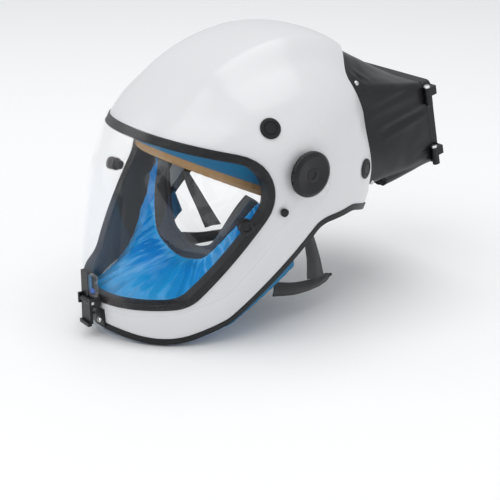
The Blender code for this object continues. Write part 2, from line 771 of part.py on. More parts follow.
def build_soft_goods():
    def seal(u, v):
        inner = smooth_path(FACE_OPENING, u) + band_width(u) * (FACE_BAND_WIDTH / 2 + 1.2)
        return seal_root(u).lerp(inner, v)

    sheet("face_seal", seal, 30, "cloth", 1.2, columns=4)

    def band(u, v):
        return smooth_path(FACE_OPENING, u) + band_width(u) * FACE_BAND_WIDTH * (v - 0.5)

    sheet("face_band", band, 24, "webbing", 3.0, columns=2)

    def neck(u, v):
        side = math.copysign(1, 0.5 - u)
        t = min(u, 1 - u) * 2
        y = NECK_CLOTH_REAR - t * (NECK_CLOTH_REAR + 126)
        rim = float(np.interp(y, (-126, -90, -62, 12), (-158, -152, -140, -74))) + 8
        x = surface_x(y, rim, -SHELL_WALL - 4.7) * (1 - ramp((t - 0.82) / 0.18))
        drop = (22 - 12 * t) * v
        return side * x * (1 - 0.05 * v), y + 6 * v, rim - drop

    sheet("neck_cloth", neck, 32, "cloth", 1.2, columns=2)

    for word, side in (("left", 1), ("right", -1)):
        drop = ((103, 16, -60), (101, 20, -72), (95, 31, -98), (88, 40, -121))
        run = ((86, -8, -124), (87, 18, -129), (85, 46, -130), (80, 68, -128))

        def hanging(u, v, side=side, path=drop):
            p = smooth_path(path, u)
            return side * p.x, p.y + (2 * v - 1) * (3 + 7 * u), p.z

        def level(u, v, side=side, path=run):
            p = smooth_path(path, u)
            return side * (p.x - 2.4), p.y, p.z + (2 * v - 1) * (7.5 - 3.5 * u)

        sheet(f"neck_strap_drop_{word}", hanging, 8, "webbing", 1.6)
        sheet(f"neck_strap_run_{word}", level, 8, "webbing", 1.6)


# ---------------------------------------------------------------- filter unit


def build_unit_frame():
    unit = bpy.data.objects.new("unit_frame", None)
    unit.location = Vector(UNIT_CENTRE) * MM
    unit.rotation_euler = (math.radians(UNIT_TILT), 0, 0)
    PARTS.objects.link(unit)
    return unit


def unit_to_world(local):
    t = math.radians(UNIT_TILT)
    x, y, z = local
    return (
        UNIT_CENTRE[0] + x,
        UNIT_CENTRE[1] + y * math.cos(t) - z * math.sin(t),
        UNIT_CENTRE[2] + y * math.sin(t) + z * math.cos(t),
    )


def world_to_unit(point):
    t = math.radians(UNIT_TILT)
    x, y, z = Vector(point) - Vector(UNIT_CENTRE)
    return Vector((x, y * math.cos(t) + z * math.sin(t), -y * math.sin(t) + z * math.cos(t)))


def inside_surface(x, y, z, offset):
    r = math.hypot(y, z)
    angle = view_angle(y, z)
    p, half = fullness(angle), SHELL_HALF_WIDTH + offset
    if abs(x) >= half:
        return False
    limit = (reach(angle) + offset) * (1 - (abs(x) / half) ** p) ** (1 / p)
    return r < limit - lowering(angle, x, r)


def cover_front(turn, back, offset):
    """A point of the cover's front edge, which lies under the shell's rear edge."""
    c, s = math.cos(turn), math.sin(turn)
    z0 = 12.0

    def point(d):
        z = z0 + d * s
        y = rear_edge_y(z) + back
        y += 12 * ramp((-40 - z) / 12)
        return d * c, y, z

    low, high = 10.0, 160.0
    for _ in range(30):
        middle = (low + high) / 2
        x, y, z = point(middle)
        if z > UNIT_FLOOR_Z and inside_surface(x, y, z, offset):
            low = middle
        else:
            high = middle
    return Vector(point(low))


def cover_rear(turn, y_local):
    """A point of the cover's rear edge, a rounded rectangle."""
    c, s = abs(math.cos(turn)), abs(math.sin(turn))
    d = min(UNIT_HALF_WIDTH / max(c, 1e-9), UNIT_HALF_HEIGHT / max(s, 1e-9))
    a, b = UNIT_HALF_WIDTH - UNIT_CORNER, UNIT_HALF_HEIGHT - UNIT_CORNER
    if d * c > a and d * s > b:
        along = a * c + b * s
        d = along + math.sqrt(along**2 - a * a - b * b + UNIT_CORNER**2)
    return Vector(unit_to_world((d * math.cos(turn), y_local, d * math.sin(turn))))


def cover_turns():
    """Directions round the cover that take in every bend of its rear outline, clockwise seen from behind."""
    w, h = UNIT_HALF_WIDTH, UNIT_HALF_HEIGHT
    corners = rounded(box_outline(-w, w, -h, h, UNIT_CORNER), 4)
    turns = []
    for (x0, z0), (x1, z1) in zip(corners, corners[1:] + corners[:1]):
        steps = max(round(math.hypot(x1 - x0, z1 - z0) / 12), 1)
        shares = [k / steps for k in range(steps)]
        turns += [math.atan2(z0 + (z1 - z0) * k, x0 + (x1 - x0) * k) for k in shares]
    return turns[::-1]


def build_cover():
    lip = -SHELL_WALL - 2.2
    y_end = -2 - FRAME_FLANGE - GAP
    turns = cover_turns()

    def place(u, v):
        turn = turns[round(u * len(turns)) % len(turns)]
        if v < 0.15:
            return cover_front(turn, -3.6, lip)
        point = cover_front(turn, 0.8, lip).lerp(cover_rear(turn, y_end), (v - 0.2) / 0.8)
        local = world_to_unit(point)
        if local.y < -FRAME_DEPTH - 32:
            return point
        # Round the frame the cover never comes inside its rear outline.
        rear = world_to_unit(cover_rear(math.atan2(local.z, local.x), local.y))
        size = max(math.hypot(rear.x, rear.z) / math.hypot(local.x, local.z), 1)
        return unit_to_world((local.x * size, local.y, local.z * size))

    cover = sheet("unit_cover", place, len(turns), "cover", UNIT_WALL, columns=5, closed=True, side=-1)
    y, z = bottom_place(0)
    for x, radius in ((BUTTON_X, BUTTON_RADIUS + GAP), (SOCKET_X, SOCKET_RADIUS + 1 + GAP)):
        hole = cutter(cylinder_mesh(radius, -10, 10, 20))
        combine(cover, aim(hole, (x, y, z), bottom_normal()))
    return cover


def bottom_line():
    """The cover's floor in side view: its front and rear ends."""
    front = (rear_edge_y(UNIT_FLOOR_Z) + 12.8, UNIT_FLOOR_Z)
    _, y, z = unit_to_world((0, -6, -UNIT_HALF_HEIGHT))
    return front, (y, z)


def bottom_normal():
    (y0, z0), (y1, z1) = bottom_line()
    return Vector((0, z1 - z0, -(y1 - y0))).normalized()


def bottom_place(depth):
    """The middle of the floor's outer face, moved depth outwards."""
    (y0, z0), (y1, z1) = bottom_line()
    n = bottom_normal()
    return y0 + (y1 - y0) * CONTROL_SHARE + n.y * depth, z0 + (z1 - z0) * CONTROL_SHARE + n.z * depth


def build_filter(unit):
    w, h = UNIT_HALF_WIDTH, UNIT_HALF_HEIGHT
    flange_y = -FRAME_FLANGE - 2
    tube_w, tube_h = w - UNIT_WALL - FRAME_CLEARANCE, h - UNIT_WALL - FRAME_CLEARANCE
    corner = UNIT_CORNER - 1
    flange = back_prism(rounded(box_outline(-w, w, -h, h, corner)), flange_y, -2)
    frame = part("filter_frame", flange, "plastic", unit)
    tube_outline = rounded(box_outline(-tube_w, tube_w, -tube_h, tube_h, corner))
    combine(frame, cutter(back_prism(tube_outline, -FRAME_DEPTH - 2, -2.5), unit), "UNION")
    bore_w, bore_h = tube_w - FRAME_WALL, tube_h - FRAME_WALL
    combine(frame, cutter(back_prism(box_outline_points(bore_w, bore_h), -FRAME_DEPTH + 1, 5), unit))
    combine(frame, cutter(back_prism(box_outline_points(bore_w - 6, bore_h - 6), -FRAME_DEPTH - 10, 5), unit))

    case_w, case_h = bore_w - 0.6, bore_h - 0.6
    case_low = -FRAME_DEPTH + 1 + 2.4
    case_high = case_low + FILTER_DEPTH
    case_block = back_prism(box_outline_points(case_w, case_h), case_low, case_high)
    case = part("filter_case", case_block, "plastic", unit)
    inner_w, inner_h = case_w - FILTER_WALL, case_h - FILTER_WALL
    combine(case, cutter(back_prism(box_outline_points(inner_w, inner_h), case_low - 5, case_high + 5), unit))
    media = back_prism(box_outline_points(inner_w - GAP, inner_h - GAP), case_low + 1.5, case_high - 1.5)
    part("filter_media", media, "paper", unit)
    ring = back_prism(box_outline_points(case_w - 0.5, case_h - 0.5), -FRAME_DEPTH + 1 + GAP, case_low - GAP)
    seal = part("filter_gasket", ring, "rubber", unit)
    middle = back_prism(box_outline_points(case_w - 5, case_h - 5), -FRAME_DEPTH - 5, case_low + 5)
    combine(seal, cutter(middle, unit))

    door_low, door_high = -2 + GAP, DOOR_THICKNESS - 2 + GAP
    door_outline = rounded(box_outline(-w, w - 1, -h + 0.5, h - 0.5, 5), 3)
    door = part("filter_door", back_prism(door_outline, door_low, door_high), "plastic", unit)
    hollow = rounded(box_outline(-w + 4, w - 5, -h + 4.5, h - 4.5, 3), 2)
    combine(door, cutter(back_prism(hollow, door_low - 2, door_low + 3.2), unit))
    for column in (-1, 1):
        for row in range(LOUVRE_ROWS):
            z = (row - (LOUVRE_ROWS - 1) / 2) * LOUVRE_PITCH
            slot = box_outline(*sorted((column * 9, column * 62)), z - 2.2, z + 2.2)
            combine(door, cutter(back_prism([(a, b) for a, b, _ in slot], -10, 20), unit))
    build_hinges(frame, door, door_high, unit)
    move_origin(door, (*HINGE_AXIS, 0))


def build_hinges(frame, door, door_high, unit):
    """Two pins, each through one knuckle of the frame and one of the door, outside the cover's left side."""
    x, y = HINGE_AXIS
    r = HINGE_KNUCKLE_RADIUS
    for word, z in HINGE_PLACES.items():
        lower = (z - KNUCKLE_LENGTH - GAP / 2, z - GAP / 2)
        upper = (z + GAP / 2, z + KNUCKLE_LENGTH + GAP / 2)
        webs = {
            frame: (lower, [((UNIT_HALF_WIDTH - 4, -4.5, lower[0]), (x + r - 0.1, -2.2, lower[1]))]),
            door: (upper, [
                ((UNIT_HALF_WIDTH - 6, door_high - 2.6, upper[0]), (x + r - 0.1, door_high, upper[1])),
                ((x - 2.5, y, upper[0]), (x + r - 0.1, door_high, upper[1])),
            ]),
        }
        for owner, (span, boxes) in webs.items():
            for low, high in boxes:
                combine(owner, cutter(box_mesh(low, high), unit), "UNION")
            combine(owner, upright(r, *span, unit), "UNION")
        for owner in (frame, door):
            reach_out = KNUCKLE_LENGTH + 2
            combine(owner, upright(HINGE_PIN_RADIUS + RUNNING_CLEARANCE, z - reach_out, z + reach_out, unit))
        top = z + KNUCKLE_LENGTH + 2 * GAP
        end = z - KNUCKLE_LENGTH - 1
        r_pin = HINGE_PIN_RADIUS
        head = [(0, top + 2.4), (2.2, top + 2.2), (3.4, top + 1.2), (3.4, top)]
        pin = head + [(r_pin, top), (r_pin, end), (0, end)]
        turned_part(f"hinge_pin_{word}", pin, "steel", (x, y, 0), (0, 0, 1), unit, 16)


def upright(radius, low, high, unit):
    """A cylinder on the filter door's hinge axis."""
    made = cutter(cylinder_mesh(radius, low, high, 16), unit)
    made.location = Vector((*HINGE_AXIS, 0)) * MM
    return made


def move_origin(obj, place):
    """Puts the object's origin at place, in its parent's frame, and leaves its shape where it is."""
    shift = Vector(place) * MM
    obj.data.transform(Matrix.Translation(-shift))
    obj.location += shift


def box_outline_points(w, h):
    return [(a, b) for a, b, _ in box_outline(-w, w, -h, h)]


def build_blower(unit):
    x, y, z = BLOWER_LOCAL
    half, R, t = BLOWER_DEPTH / 2, BLOWER_RADIUS, BLOWER_WALL
    shaft_hole = SHAFT_RADIUS + RUNNING_CLEARANCE + 0.5
    cup = [
        (INLET_RADIUS, half), (R, half), (R, -half), (shaft_hole, -half), (shaft_hole, -half + t),
        (R - t, -half + t), (R - t, half - t), (INLET_RADIUS, half - t), (INLET_RADIUS, half),
    ]
    housing = turned_part("blower_housing", cup, "plastic", (x, y, z), (0, 1, 0), unit, 36)
    spout = cutter(box_mesh((-14, y - half, z + R - 8), (14, y + half, z + R + 8)), unit)
    combine(housing, spout, "UNION")
    combine(housing, cutter(box_mesh((-12, y - half + t, z + R - 12), (12, y + half - t, z + R + 20)), unit))

    bore = SHAFT_RADIUS + 0.05
    hub = [
        (0, 8), (6, 8), (6, -7), (IMPELLER_RADIUS, -7), (IMPELLER_RADIUS, -9),
        (4, -9), (4, -10.5), (bore, -10.5), (bore, 5), (0, 5),
    ]
    impeller = turned_part("impeller", hub, "grey", (x, y, z), (0, 1, 0), unit, 36)
    for k in range(BLADE_COUNT):
        a = math.tau * k / BLADE_COUNT
        blade = cutter(box_mesh((13, -0.6, -8), (IMPELLER_RADIUS - 0.5, 0.6, 7)), unit)
        blade.location = Vector((x, y, z)) * MM
        upright_turn = Vector((0, 1, 0)).to_track_quat("Z", "Y").to_matrix()
        blade.rotation_euler = (upright_turn @ Matrix.Rotation(a + BLADE_SWEEP, 3, "Z")).to_euler()
        combine(impeller, blade, "UNION")

    motor_face, motor_back = -half - GAP, -half - 15
    motor = [
        (0, 4.4), (SHAFT_RADIUS, 4.4), (SHAFT_RADIUS, motor_face), (13, motor_face),
        (13, motor_back), (4, motor_back), (4, motor_back - 2), (0, motor_back - 2),
    ]
    turned_part("motor", motor, "steel", (x, y, z), (0, 1, 0), unit, 24)

    bx, by, bz = BATTERY_SIZE
    side_x = R + 4
    battery_box = box_mesh((side_x, y - by / 2, -bz / 2), (side_x + bx, y + by / 2, bz / 2))
    battery = part("battery_pack", battery_box, "plastic", unit)
    soften(battery, 2.5, 2)
    board_box = box_mesh((-side_x - 1.6, y - 15, -26), (-side_x, y + 15, 26))
    board = part("control_board", board_box, "board", unit)
    for height, half_depth, z_low, z_high in ((8, 9, 4, 20), (6, 6, -20, -10)):
        low = (-side_x - height, y - half_depth, z_low)
        high = (-side_x - 1, y + half_depth, z_high)
        combine(board, cutter(box_mesh(low, high), unit), "UNION")


def build_controls():
    n = bottom_normal()
    y, z = bottom_place(0)
    r = BUTTON_RADIUS
    button = [(0, 2.2), (r - 1.5, 2.2), (r, 1), (r, -3), (0, -3)]
    turned_part("power_button", button, "rubber", (BUTTON_X, y, z), n, segments=20)
    switch_box = box_mesh((-9, -9, -8.5), (9, 9, -3 - BUTTON_TRAVEL - GAP - 0.2))
    aim(part("button_switch", switch_box, "plastic"), (BUTTON_X, y, z), n)
    r = SOCKET_RADIUS
    socket = [
        (r - 2, 0.2), (r, 0.2), (r, -2.6), (r + 3, -2.6), (r + 3, -4.6), (r, -4.6),
        (r, -11), (0, -11), (0, -9.5), (r - 2, -9.5), (r - 2, 0.2),
    ]
    turned_part("charging_socket", socket, "plastic", (SOCKET_X, y, z), n, segments=20)
    cap = [(0, 2.6), (r - 0.5, 2.6), (r + 0.6, 1.8), (r + 0.6, 0.5), (r - 2.4, 0.5), (r - 2.4, -7), (0, -7)]
    turned_part("socket_cap", cap, "rubber", (SOCKET_X, y, z), n, segments=20)


def fan(radius, first, last):
    """A side-view sector about the hinge axis, between two angles in degrees."""
    turns = [math.radians(angle) for angle in range(first, last, 11)]
    return [(0, 0)] + [(-radius * math.cos(turn), radius * math.sin(turn)) for turn in turns]


def build_duct():
    """A tray under the crest that carries the air from the back to the brow."""
    low, high = -SHELL_WALL - 9.5, -SHELL_WALL - GAP - 0.2
    duct = part("air_duct", surface_solid(high), "plastic")
    combine(duct, cutter(surface_solid(low)))
    wedge = fan(200, 47, 136)
    combine(duct, cutter(side_prism(wedge, -36, 36)), "INTERSECT")
    inner = cutter(surface_solid(high + 2))
    combine(inner, cutter(surface_solid(low + 1.5)))
    wide = fan(220, 30, 148)
    combine(inner, cutter(side_prism(wide, -34.5, 34.5)), "INTERSECT")
    combine(duct, inner)


def main():
    clear_scene()
    build_shell()
    build_edging()
    build_visor()
    build_pivots()
    build_visor_fittings()
    build_latch()
    build_harness()
    build_soft_goods()
    unit = build_unit_frame()
    build_cover()
    build_filter(unit)
    build_blower(unit)
    build_controls()
    build_duct()


main()
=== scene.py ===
"""Looks for the powered air respirator: hinged clear visor, gathered face seal, harness and filter unit.

Lengths are in millimetres until a mesh is finished, and each piece is then scaled to metres.
The wearer looks along -Y, the wearer's left is +X, and the origin is the middle of the visor's hinge axis.
"""

import functools
import json
import math

import bmesh
import bpy
import numpy as np
from mathutils import Matrix, Vector, noise


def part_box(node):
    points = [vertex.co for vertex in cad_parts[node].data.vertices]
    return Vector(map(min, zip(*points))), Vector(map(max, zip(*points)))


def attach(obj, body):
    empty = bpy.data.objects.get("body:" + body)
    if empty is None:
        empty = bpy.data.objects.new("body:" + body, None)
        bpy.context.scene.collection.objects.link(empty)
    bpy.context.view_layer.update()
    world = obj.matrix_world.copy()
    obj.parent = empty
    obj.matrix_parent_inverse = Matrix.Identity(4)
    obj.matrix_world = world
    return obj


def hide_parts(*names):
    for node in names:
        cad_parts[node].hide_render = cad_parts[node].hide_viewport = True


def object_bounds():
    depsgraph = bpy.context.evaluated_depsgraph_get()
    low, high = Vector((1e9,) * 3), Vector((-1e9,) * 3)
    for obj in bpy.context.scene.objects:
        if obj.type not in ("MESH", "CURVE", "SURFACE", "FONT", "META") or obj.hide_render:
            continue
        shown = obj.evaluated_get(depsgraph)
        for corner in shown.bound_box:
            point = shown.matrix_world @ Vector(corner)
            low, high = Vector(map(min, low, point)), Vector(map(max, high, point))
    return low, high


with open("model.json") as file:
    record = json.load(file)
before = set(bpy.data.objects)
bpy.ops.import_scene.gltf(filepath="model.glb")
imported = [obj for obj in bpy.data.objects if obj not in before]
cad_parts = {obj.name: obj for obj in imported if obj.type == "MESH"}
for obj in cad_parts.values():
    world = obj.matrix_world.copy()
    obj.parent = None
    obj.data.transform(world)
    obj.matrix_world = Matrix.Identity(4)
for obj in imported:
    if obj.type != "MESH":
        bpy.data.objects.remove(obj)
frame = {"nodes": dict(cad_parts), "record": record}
CAD_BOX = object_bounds()
MM = 0.001

# Shell, as in the CAD
SHELL_HALF_WIDTH = 118.5
SHELL_WALL = 3.0
SHELL_OUTLINE = (
    (-75, 237), (-60, 249), (-46, 216), (-25, 162), (0, 132), (18, 115), (36, 102), (54, 100),
    (72, 101), (90, 106), (108, 117), (144, 143), (180, 147), (225, 155), (255, 190),
)
FACE_FULLNESS = 1.9
DOME_FULLNESS = 2.4
CREST_HALF_WIDTH = 44.0
CREST_BLEND = 26.0
CREST_STEP = 12.0
EYEPORT = ((-200, 52, 0), (-200, -133, 0), (-103, -121.4, 30), (-3, 10, 39))
VISOR_EDGE = (
    (-200, 62, 0), (-200, -142, 0), (-112, -126, 60), (-74, -109, 15), (-24, -50, 60),
    (27, -30, 27), (27.5, 25, 25.5), (-46, 20, 40),
)
BELOW_RIM = (
    (-220, -133, 0), (-220, -320, 0), (150, -320, 0), (150, -81, 0), (68, -52.5, 30),
    (28, -57, 30), (-62, -142, 40), (-118, -165, 70),
)
REAR_EDGE = ((110, 140), (97, 92), (83, 66), (96, 34), (99, -38), (106, -50), (106, -90))
GASKET_WIDTH = 8.0
GASKET_DEPTH = 8.0
GASKET_PROUD = 1.2
TRIM_HEIGHT = 6.0
TRIM_PROUD = 1.0
TRIM_INSIDE = 1.5
LIP_RADIUS = 0.7
LIP_INSET = 0.9
LINING_THICKNESS = 0.7
GAP = 0.3
VISOR_GAP = 1.7
VISOR_THICKNESS = 2.0
VISOR_FACE = VISOR_GAP + VISOR_THICKNESS
PIVOT_HOLE = 4.3
KNOB_RADIUS = 21.3
KNOB_THICKNESS = 6.5
POST_PLACE = (-61.0, -40.0)
POST_RADIUS = 6.8
POST_HEIGHT = 9.0
VISOR_PLUG_PLACE = (-24.0, -33.0)
VISOR_PLUG_RADIUS = 3.8
PLUG_RADIUS = 9.7
PLUG_PLACES = {"front": (-31.0, 42.5), "rear": (84.0, -15.0)}
SIDES = (("left", 1), ("right", -1))

# Harness, as in the CAD
BAND_HALF_WIDTH = 78.0
BAND_HALF_LENGTH = 85.0
BAND_CENTRE_Y = -5.0
BAND_FRONT_Z = 4.5
BAND_SLOPE = 0.46
BAND_HEIGHT = 26.0
CROWN_TOP = 70.0
CROWN_WIDTH = 20.0

# Seal and straps
FACE_BAND_HALF_WIDTH = 10.0
FACE_BAND_HALF_THICKNESS = 2.1
SEAL_THICKNESS = 0.7
SEAL_INSET = SHELL_WALL + 2.4
NECK_CLOTH_INSET = SHELL_WALL + 4.7
NECK_CLOTH_REAR = 0.0
NECK_CLOTH_FRONT = -126.0
NECK_CLOTH_THICKNESS = 0.8
STRAP_THICKNESS = 1.5

# Filter unit, as in the CAD
UNIT_CENTRE = (0.0, 196.0, 7.0)
UNIT_TILT = math.radians(13.4)
UNIT_HALF_WIDTH = 76.0
UNIT_HALF_HEIGHT = 44.5
UNIT_CORNER = 9.0
UNIT_WALL = 2.0
UNIT_FLOOR_Z = -60.0
UNIT_END_Y = -5.3
FRAME_DEPTH = 38.0
SPINE_Z = 12.0  # the height from which the cover's front outline is measured
COVER_INSET = SHELL_WALL + 2.2
COVER_GAP = 0.8
COVER_TUCK = 3.6
ROLL_RADIUS = 1.7


# ---- surface


def ramp(t):
    """A smooth step from 0 to 1."""
    t = min(max(t, 0.0), 1.0)
    return t * t * (3 - 2 * t)


def reach(angle):
    """Distance of the mid-plane outline from the hinge axis."""
    count = len(SHELL_OUTLINE)
    first = SHELL_OUTLINE[0][0]
    angle = (angle - first) % 360 + first
    i = max(k for k in range(count) if SHELL_OUTLINE[k][0] <= angle)

    def at(k):
        degrees, distance = SHELL_OUTLINE[k % count]
        return degrees + 360 * (k // count), distance

    def slope(k):
        (a0, r0), (a1, r1) = at(k - 1), at(k + 1)
        return (r1 - r0) / (a1 - a0)

    (a0, r0), (a1, r1) = at(i), at(i + 1)
    span = a1 - a0
    t = (angle - a0) / span
    curve = (2 * t**3 - 3 * t**2 + 1) * r0 + (t**3 - 2 * t**2 + t) * span * slope(i)
    return curve + (3 * t**2 - 2 * t**3) * r1 + (t**3 - t**2) * span * slope(i + 1)


def fullness(angle):
    """The cross-section's power at this angle: 2 is an ellipse, more is squarer."""
    dome = ramp((angle + 5) / 45) * (1 - ramp((angle - 220) / 30))
    return FACE_FULLNESS + (DOME_FULLNESS - FACE_FULLNESS) * dome


def lowering(angle, x, r):
    """How far the flanks lie below the crest."""
    step = (2 + CREST_STEP * ramp((angle - 25) / 100)) * ramp((angle - 20) / 30)
    step *= 1 - ramp((angle - 165) / 30)
    return step * ramp((abs(x) - CREST_HALF_WIDTH) / CREST_BLEND) * ramp(r / 60)


def shell_point(angle, side, offset):
    """A point of the offset surface, where side runs from -1 at the right pole to 1 at the left."""
    p = fullness(angle)
    x = (SHELL_HALF_WIDTH + offset) * math.copysign(abs(side) ** (2 / p), side)
    r = (reach(angle) + offset) * max(1 - side * side, 0) ** (1 / p)
    r = max(r - lowering(angle, x, r), 0)
    return x, -r * math.cos(math.radians(angle)), r * math.sin(math.radians(angle))


def view_angle(y, z):
    """Degrees round the hinge axis in side view, 0 towards the front, from -75 to 285."""
    return (math.degrees(math.atan2(z, -y)) + 75) % 360 - 75


@functools.cache
def surface_x(y, z, offset=0.0):
    """Half width of the offset surface at this y and z."""
    angle, r, half = view_angle(y, z), math.hypot(y, z), SHELL_HALF_WIDTH + offset
    p = fullness(angle)
    full = reach(angle) + offset
    x = half
    for _ in range(40):
        share = min((r + lowering(angle, x, r)) / full, 1)
        x = (x + half * (1 - share**p) ** (1 / p)) / 2
    return x


def surface_normal(y, z):
    d = 0.5
    slope_y = (surface_x(y + d, z) - surface_x(y - d, z)) / (2 * d)
    slope_z = (surface_x(y, z + d) - surface_x(y, z - d)) / (2 * d)
    return Vector((1, -slope_y, -slope_z)).normalized()


def on_side(place, side):
    """A point on the shell and the outward normal there, on the left if side is 1."""
    y, z = place
    normal = surface_normal(y, z)
    normal.x *= side
    return Vector((surface_x(y, z) * side, y, z)), normal


def farthest(low, high, inside):
    """The farthest value from low towards high that still lies inside."""
    for _ in range(30):
        middle = (low + high) / 2
        if inside(middle):
            low = middle
        else:
            high = middle
    return low


def front_y(z, offset=0.0):
    """Where the offset surface's mid-plane outline passes this height at the front."""

    def below(angle):
        return (reach(angle) + offset) * math.sin(math.radians(angle)) < z

    angle = farthest(-75.0, 30.0, below)
    return -(reach(angle) + offset) * math.cos(math.radians(angle))


def rear_edge_y(z):
    """Where the shell ends at this height, from its rear edge in side view."""
    return float(np.interp(-z, [-z_ for _, z_ in REAR_EDGE], [y for y, _ in REAR_EDGE]))


def rounded(corners, steps=10):
    """The closed outline of corners (a, b, radius), each corner rounded by an arc."""
    points = []
    count = len(corners)
    for i, (a, b, radius) in enumerate(corners):
        here = np.array((a, b), float)
        back = np.array(corners[i - 1][:2], float) - here
        on = np.array(corners[(i + 1) % count][:2], float) - here
        back, on = back / np.linalg.norm(back), on / np.linalg.norm(on)
        if radius <= 0:
            points.append(here)
            continue
        half = math.acos(np.clip(back @ on, -1, 1)) / 2
        centre = here + (back + on) / np.linalg.norm(back + on) * radius / math.sin(half)
        start = here + back * radius / math.tan(half) - centre
        end = here + on * radius / math.tan(half) - centre
        turn = math.atan2(start[0] * end[1] - start[1] * end[0], start @ end)
        for k in range(steps + 1):
            c, s = math.cos(turn * k / steps), math.sin(turn * k / steps)
            points.append(centre + (start[0] * c - start[1] * s, start[0] * s + start[1] * c))
    return [(float(a), float(b)) for a, b in points]


def grown(corners, distance):
    """The outline with every edge moved outwards by distance."""
    count = len(corners)
    points = [np.array(corner[:2], float) for corner in corners]
    area = sum(points[i - 1][0] * points[i][1] - points[i][0] * points[i - 1][1] for i in range(count))
    out = []
    for i in range(count):
        first = points[i] - points[i - 1]
        second = points[(i + 1) % count] - points[i]
        normals = []
        for edge in (first, second):
            edge = edge / np.linalg.norm(edge)
            normals.append(np.array((edge[1], -edge[0])) * math.copysign(1, area))
        corner = np.linalg.solve(np.array(normals), [n @ points[i] + distance for n in normals])
        convex = (first[0] * second[1] - first[1] * second[0]) * area > 0
        radius = corners[i][2]
        if radius > 0:
            radius = max(radius + (distance if convex else -distance), 1.0)
        out.append((corner[0], corner[1], radius))
    return out


def box_corners(a0, a1, b0, b1, radius=0.0):
    return ((a0, b0, radius), (a1, b0, radius), (a1, b1, radius), (a0, b1, radius))


def smooth_path(points, t):
    """The point at t, from 0 to 1, on a Catmull-Rom curve through points."""
    points = [Vector(p) for p in points]
    spans = len(points) - 1
    i = min(int(t * spans), spans - 1)
    u = t * spans - i
    p1, p2 = points[i], points[i + 1]
    p0 = points[i - 1] if i else p1 * 2 - p2
    p3 = points[i + 2] if i + 2 <= spans else p2 * 2 - p1
    a = 2 * p1 + (p2 - p0) * u
    return 0.5 * (a + (2 * p0 - 5 * p1 + 4 * p2 - p3) * u**2 + (3 * p1 - p0 - 3 * p2 + p3) * u**3)


# ---- node groups and materials


def new_group(name, inputs, outputs):
    group = bpy.data.node_groups.new(name, "ShaderNodeTree")
    for socket, value in inputs.items():
        made = group.interface.new_socket(socket, in_out="INPUT", socket_type="NodeSocketFloat")
        made.default_value = value
    for socket in outputs:
        group.interface.new_socket(socket, in_out="OUTPUT", socket_type="NodeSocketFloat")
    entry = group.nodes.new("NodeGroupInput")
    leave = group.nodes.new("NodeGroupOutput")
    return group, entry, leave


def set_inputs(node, values):
    for socket, value in values.items():
        node.inputs[socket].default_value = value


def math_node(tree, operation, first, second=None):
    node = tree.nodes.new("ShaderNodeMath")
    node.operation = operation
    for socket, value in zip(node.inputs, (first, second)):
        if isinstance(value, (int, float)):
            socket.default_value = value
        elif value is not None:
            tree.links.new(value, socket)
    return node.outputs[0]


def noise_node(tree, coordinates, scale, detail):
    """A noise texture. Its scale is a number or another node's output."""
    node = tree.nodes.new("ShaderNodeTexNoise")
    if isinstance(scale, (int, float)):
        node.inputs["Scale"].default_value = scale
    else:
        tree.links.new(scale, node.inputs["Scale"])
    node.inputs["Detail"].default_value = detail
    tree.links.new(coordinates, node.inputs["Vector"])
    return node


def moulding_group():
    """Fine skin of a moulded part: a small bump and a slow change of gloss."""
    group, entry, leave = new_group("moulding", {"Scale": 900.0}, ("Height", "Patches"))
    coordinates = group.nodes.new("ShaderNodeTexCoord").outputs["Object"]
    fine = noise_node(group, coordinates, entry.outputs["Scale"], 3)
    slow = noise_node(group, coordinates, 18, 4)
    group.links.new(fine.outputs["Fac"], leave.inputs["Height"])
    group.links.new(slow.outputs["Fac"], leave.inputs["Patches"])
    return group


def leather_group():
    """Pebbled leather: rounded cells with creases between them."""
    group, entry, leave = new_group("leather", {"Scale": 700.0}, ("Height", "Patches"))
    coordinates = group.nodes.new("ShaderNodeTexCoord").outputs["Object"]
    warp = noise_node(group, coordinates, 60, 2)
    shift = group.nodes.new("ShaderNodeVectorMath")
    shift.operation = "MULTIPLY_ADD"
    shift.inputs[1].default_value = (0.004, 0.004, 0.004)
    group.links.new(warp.outputs["Color"], shift.inputs[0])
    group.links.new(coordinates, shift.inputs[2])
    cells = group.nodes.new("ShaderNodeTexVoronoi")
    group.links.new(shift.outputs[0], cells.inputs["Vector"])
    group.links.new(entry.outputs["Scale"], cells.inputs["Scale"])
    slow = noise_node(group, coordinates, 25, 5)
    group.links.new(math_node(group, "SUBTRACT", 1.0, cells.outputs["Distance"]), leave.inputs["Height"])
    group.links.new(slow.outputs["Fac"], leave.inputs["Patches"])
    return group


def weave_group():
    """Plain weave on a piece's own UV map, whose unit is a metre."""
    group, entry, leave = new_group("weave", {"Threads per metre": 1200.0}, ("Height", "Threads"))
    uv = group.nodes.new("ShaderNodeUVMap")
    uv.uv_map = "UVMap"
    split = group.nodes.new("ShaderNodeSeparateXYZ")
    group.links.new(uv.outputs["UV"], split.inputs[0])
    turns = math_node(group, "MULTIPLY", entry.outputs["Threads per metre"], math.pi)
    waves = []
    for axis in ("X", "Y"):
        phase = math_node(group, "MULTIPLY", split.outputs[axis], turns)
        waves.append(math_node(group, "SINE", phase))
    crossed = math_node(group, "MULTIPLY", waves[0], waves[1])
    raised = math_node(group, "MULTIPLY_ADD", crossed, 0.5)
    raised.node.inputs[2].default_value = 0.5
    group.links.new(raised, leave.inputs["Height"])
    group.links.new(math_node(group, "ABSOLUTE", waves[0]), leave.inputs["Threads"])
    return group


GROUPS = {"moulding": moulding_group(), "leather": leather_group(), "weave": weave_group()}


def mixed_colour(tree, mask, dark, light):
    mix = tree.nodes.new("ShaderNodeMix")
    mix.data_type = "RGBA"
    set_inputs(mix, {"A": (*dark, 1), "B": (*light, 1)})
    tree.links.new(mask, mix.inputs["Factor"])
    return mix.outputs["Result"]


